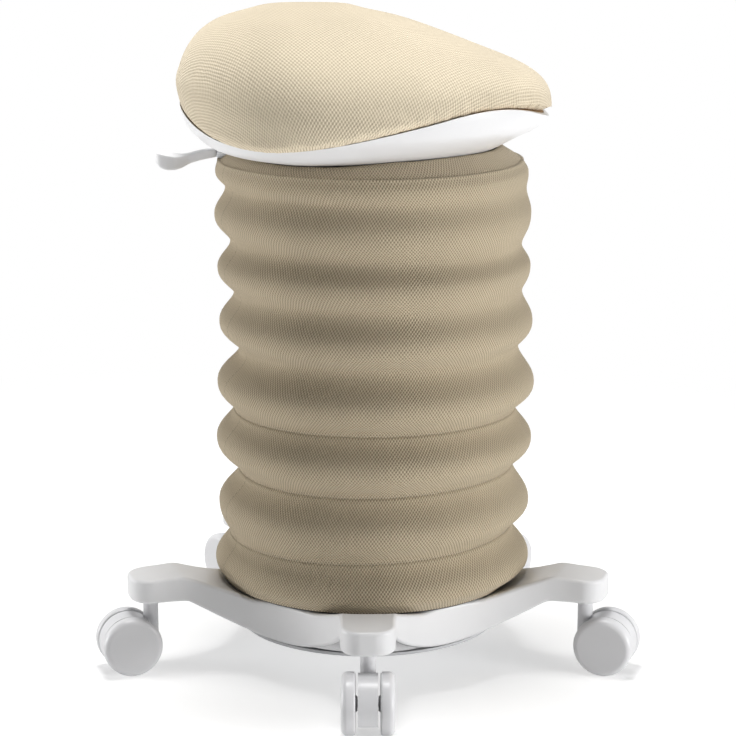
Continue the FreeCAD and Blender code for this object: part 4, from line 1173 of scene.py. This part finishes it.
@dataclass
class Studio:
    """Pale floor and backdrop, soft lamps, and the camera."""

    eye_back: float = 1.950
    eye_up: float = 0.6904
    pitch: float = 12.85
    lens: float = 115.53
    lamps: tuple = (
        ("overhead", (-0.1, 0.12, 2.4), (0.0, 0.0, 0.4), 0.8, 44.0),
        ("low_left", (-1.9, 0.15, 0.28), (0.0, 0.0, 0.28), 0.6, 15.0),
        ("low_right", (1.8, -0.9, 0.28), (0.0, 0.0, 0.28), 0.6, 24.0),
    )
    sky: float = 0.07
    floor_glow: float = 0.2
    floor_lift: float = 0.3
    floor_radius: float = 6.0
    fade_near: float = 0.45
    fade_far: float = 1.1

    def build(self) -> None:
        """Set up the room."""
        self.camera()
        self.floor()
        self.world()
        for lamp in self.lamps:
            self.lamp(*lamp)
        bpy.context.scene.view_settings.view_transform = "Standard"

    def camera(self) -> None:
        """Camera at the photograph's place."""
        data = bpy.data.cameras.new("studio_camera")
        data.lens = self.lens
        data.sensor_width = 36.0
        data.sensor_fit = "AUTO"
        eye = bpy.data.objects.new("studio_camera", data)
        eye.location = (0.0, -self.eye_back, self.eye_up)
        eye.rotation_euler = (math.radians(90.0 - self.pitch), 0.0, 0.0)
        bpy.context.scene.collection.objects.link(eye)
        bpy.context.scene.camera = eye

    def lamp(self, name: str, place: tuple, aim: tuple, size: float, power: float) -> None:
        """A square soft lamp that points at a place."""
        data = bpy.data.lights.new(name, "AREA")
        data.size = size
        data.energy = power
        lamp = bpy.data.objects.new(name, data)
        lamp.location = place
        lamp.rotation_euler = (Vector(aim) - Vector(place)).to_track_quat("-Z", "Y").to_euler()
        bpy.context.scene.collection.objects.link(lamp)

    def floor(self) -> None:
        """Pale floor that keeps the shadows and fades into the background."""
        deselect()
        bpy.ops.mesh.primitive_circle_add(vertices=96, radius=self.floor_radius, fill_type="NGON")
        floor = bpy.context.active_object
        floor.name = "studio_floor"
        settle(floor)
        sheet = NodeSheet("floor_paper")
        sheet.set(Base_Color=(0.72, 0.72, 0.72, 1.0), Roughness=0.9, Specular_IOR_Level=0.1)
        sheet.set(Emission_Color=(1.0, 1.0, 1.0, 1.0), Emission_Strength=self.floor_glow)
        path = sheet.tree.nodes.new("ShaderNodeLightPath")
        glow = sheet.tree.nodes.new("ShaderNodeEmission")
        glow.inputs["Strength"].default_value = 1.0
        lift = sheet.tree.nodes.new("ShaderNodeEmission")
        lift.inputs["Strength"].default_value = self.floor_lift
        add = sheet.tree.nodes.new("ShaderNodeAddShader")
        sheet.link(sheet.shader.outputs["BSDF"], add.inputs[0])
        sheet.link(lift.outputs[0], add.inputs[1])
        seen = sheet.tree.nodes.new("ShaderNodeMixShader")
        sheet.link(path.outputs["Is Camera Ray"], seen.inputs[0])
        sheet.link(sheet.shader.outputs["BSDF"], seen.inputs[1])
        sheet.link(add.outputs[0], seen.inputs[2])
        place = sheet.tree.nodes.new("ShaderNodeTexCoord")
        far = sheet.tree.nodes.new("ShaderNodeVectorMath")
        far.operation = "LENGTH"
        sheet.link(place.outputs["Object"], far.inputs[0])
        fade = sheet.spread(far.outputs["Value"], self.fade_near, self.fade_far)
        edge = sheet.tree.nodes.new("ShaderNodeMixShader")
        sheet.link(fade, edge.inputs[0])
        sheet.link(seen.outputs[0], edge.inputs[1])
        sheet.link(glow.outputs[0], edge.inputs[2])
        sheet.link(edge.outputs[0], sheet.output.inputs["Surface"])
        floor.data.materials.append(sheet.material)

    def world(self) -> None:
        """White background for the camera, plain soft light for everything else."""
        world = bpy.data.worlds.new("studio")
        bpy.context.scene.world = world
        world.use_nodes = True
        tree = world.node_tree
        tree.nodes.clear()
        output = tree.nodes.new("ShaderNodeOutputWorld")
        light = tree.nodes.new("ShaderNodeBackground")
        light.inputs["Color"].default_value = (1.0, 1.0, 1.0, 1.0)
        light.inputs["Strength"].default_value = self.sky
        white = tree.nodes.new("ShaderNodeBackground")
        white.inputs["Color"].default_value = (1.0, 1.0, 1.0, 1.0)
        white.inputs["Strength"].default_value = 1.0
        path = tree.nodes.new("ShaderNodeLightPath")
        mix = tree.nodes.new("ShaderNodeMixShader")
        seen = tree.nodes.new("ShaderNodeMath")
        seen.operation = "MAXIMUM"
        tree.links.new(path.outputs["Is Camera Ray"], seen.inputs[0])
        tree.links.new(path.outputs["Is Glossy Ray"], seen.inputs[1])
        tree.links.new(seen.outputs[0], mix.inputs[0])
        tree.links.new(light.outputs[0], mix.inputs[1])
        tree.links.new(white.outputs[0], mix.inputs[2])
        tree.links.new(mix.outputs[0], output.inputs["Surface"])


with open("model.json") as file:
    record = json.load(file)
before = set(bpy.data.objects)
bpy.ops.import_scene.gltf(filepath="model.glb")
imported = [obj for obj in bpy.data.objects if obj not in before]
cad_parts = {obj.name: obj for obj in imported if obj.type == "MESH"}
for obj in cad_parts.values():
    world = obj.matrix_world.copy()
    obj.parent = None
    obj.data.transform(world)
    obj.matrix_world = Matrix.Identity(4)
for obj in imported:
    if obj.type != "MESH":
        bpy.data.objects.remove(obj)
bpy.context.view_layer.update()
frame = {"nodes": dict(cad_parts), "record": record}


def main() -> None:
    """Build the stool's pieces in order."""
    logging.basicConfig(level=logging.INFO, format="%(name)s: %(message)s")
    deselect()
    Studio().build()
    finishes = Finishes()
    finishes.build()
    MouldedParts(finishes).build()
    Casters(finishes).build()
    Handle(finishes).build()
    Cushion(finishes).build()
    Bellows(finishes).build()
    TopCollar(finishes).build()
    PlainNodes(finishes).build()


if __name__ == "__main__":
    main()
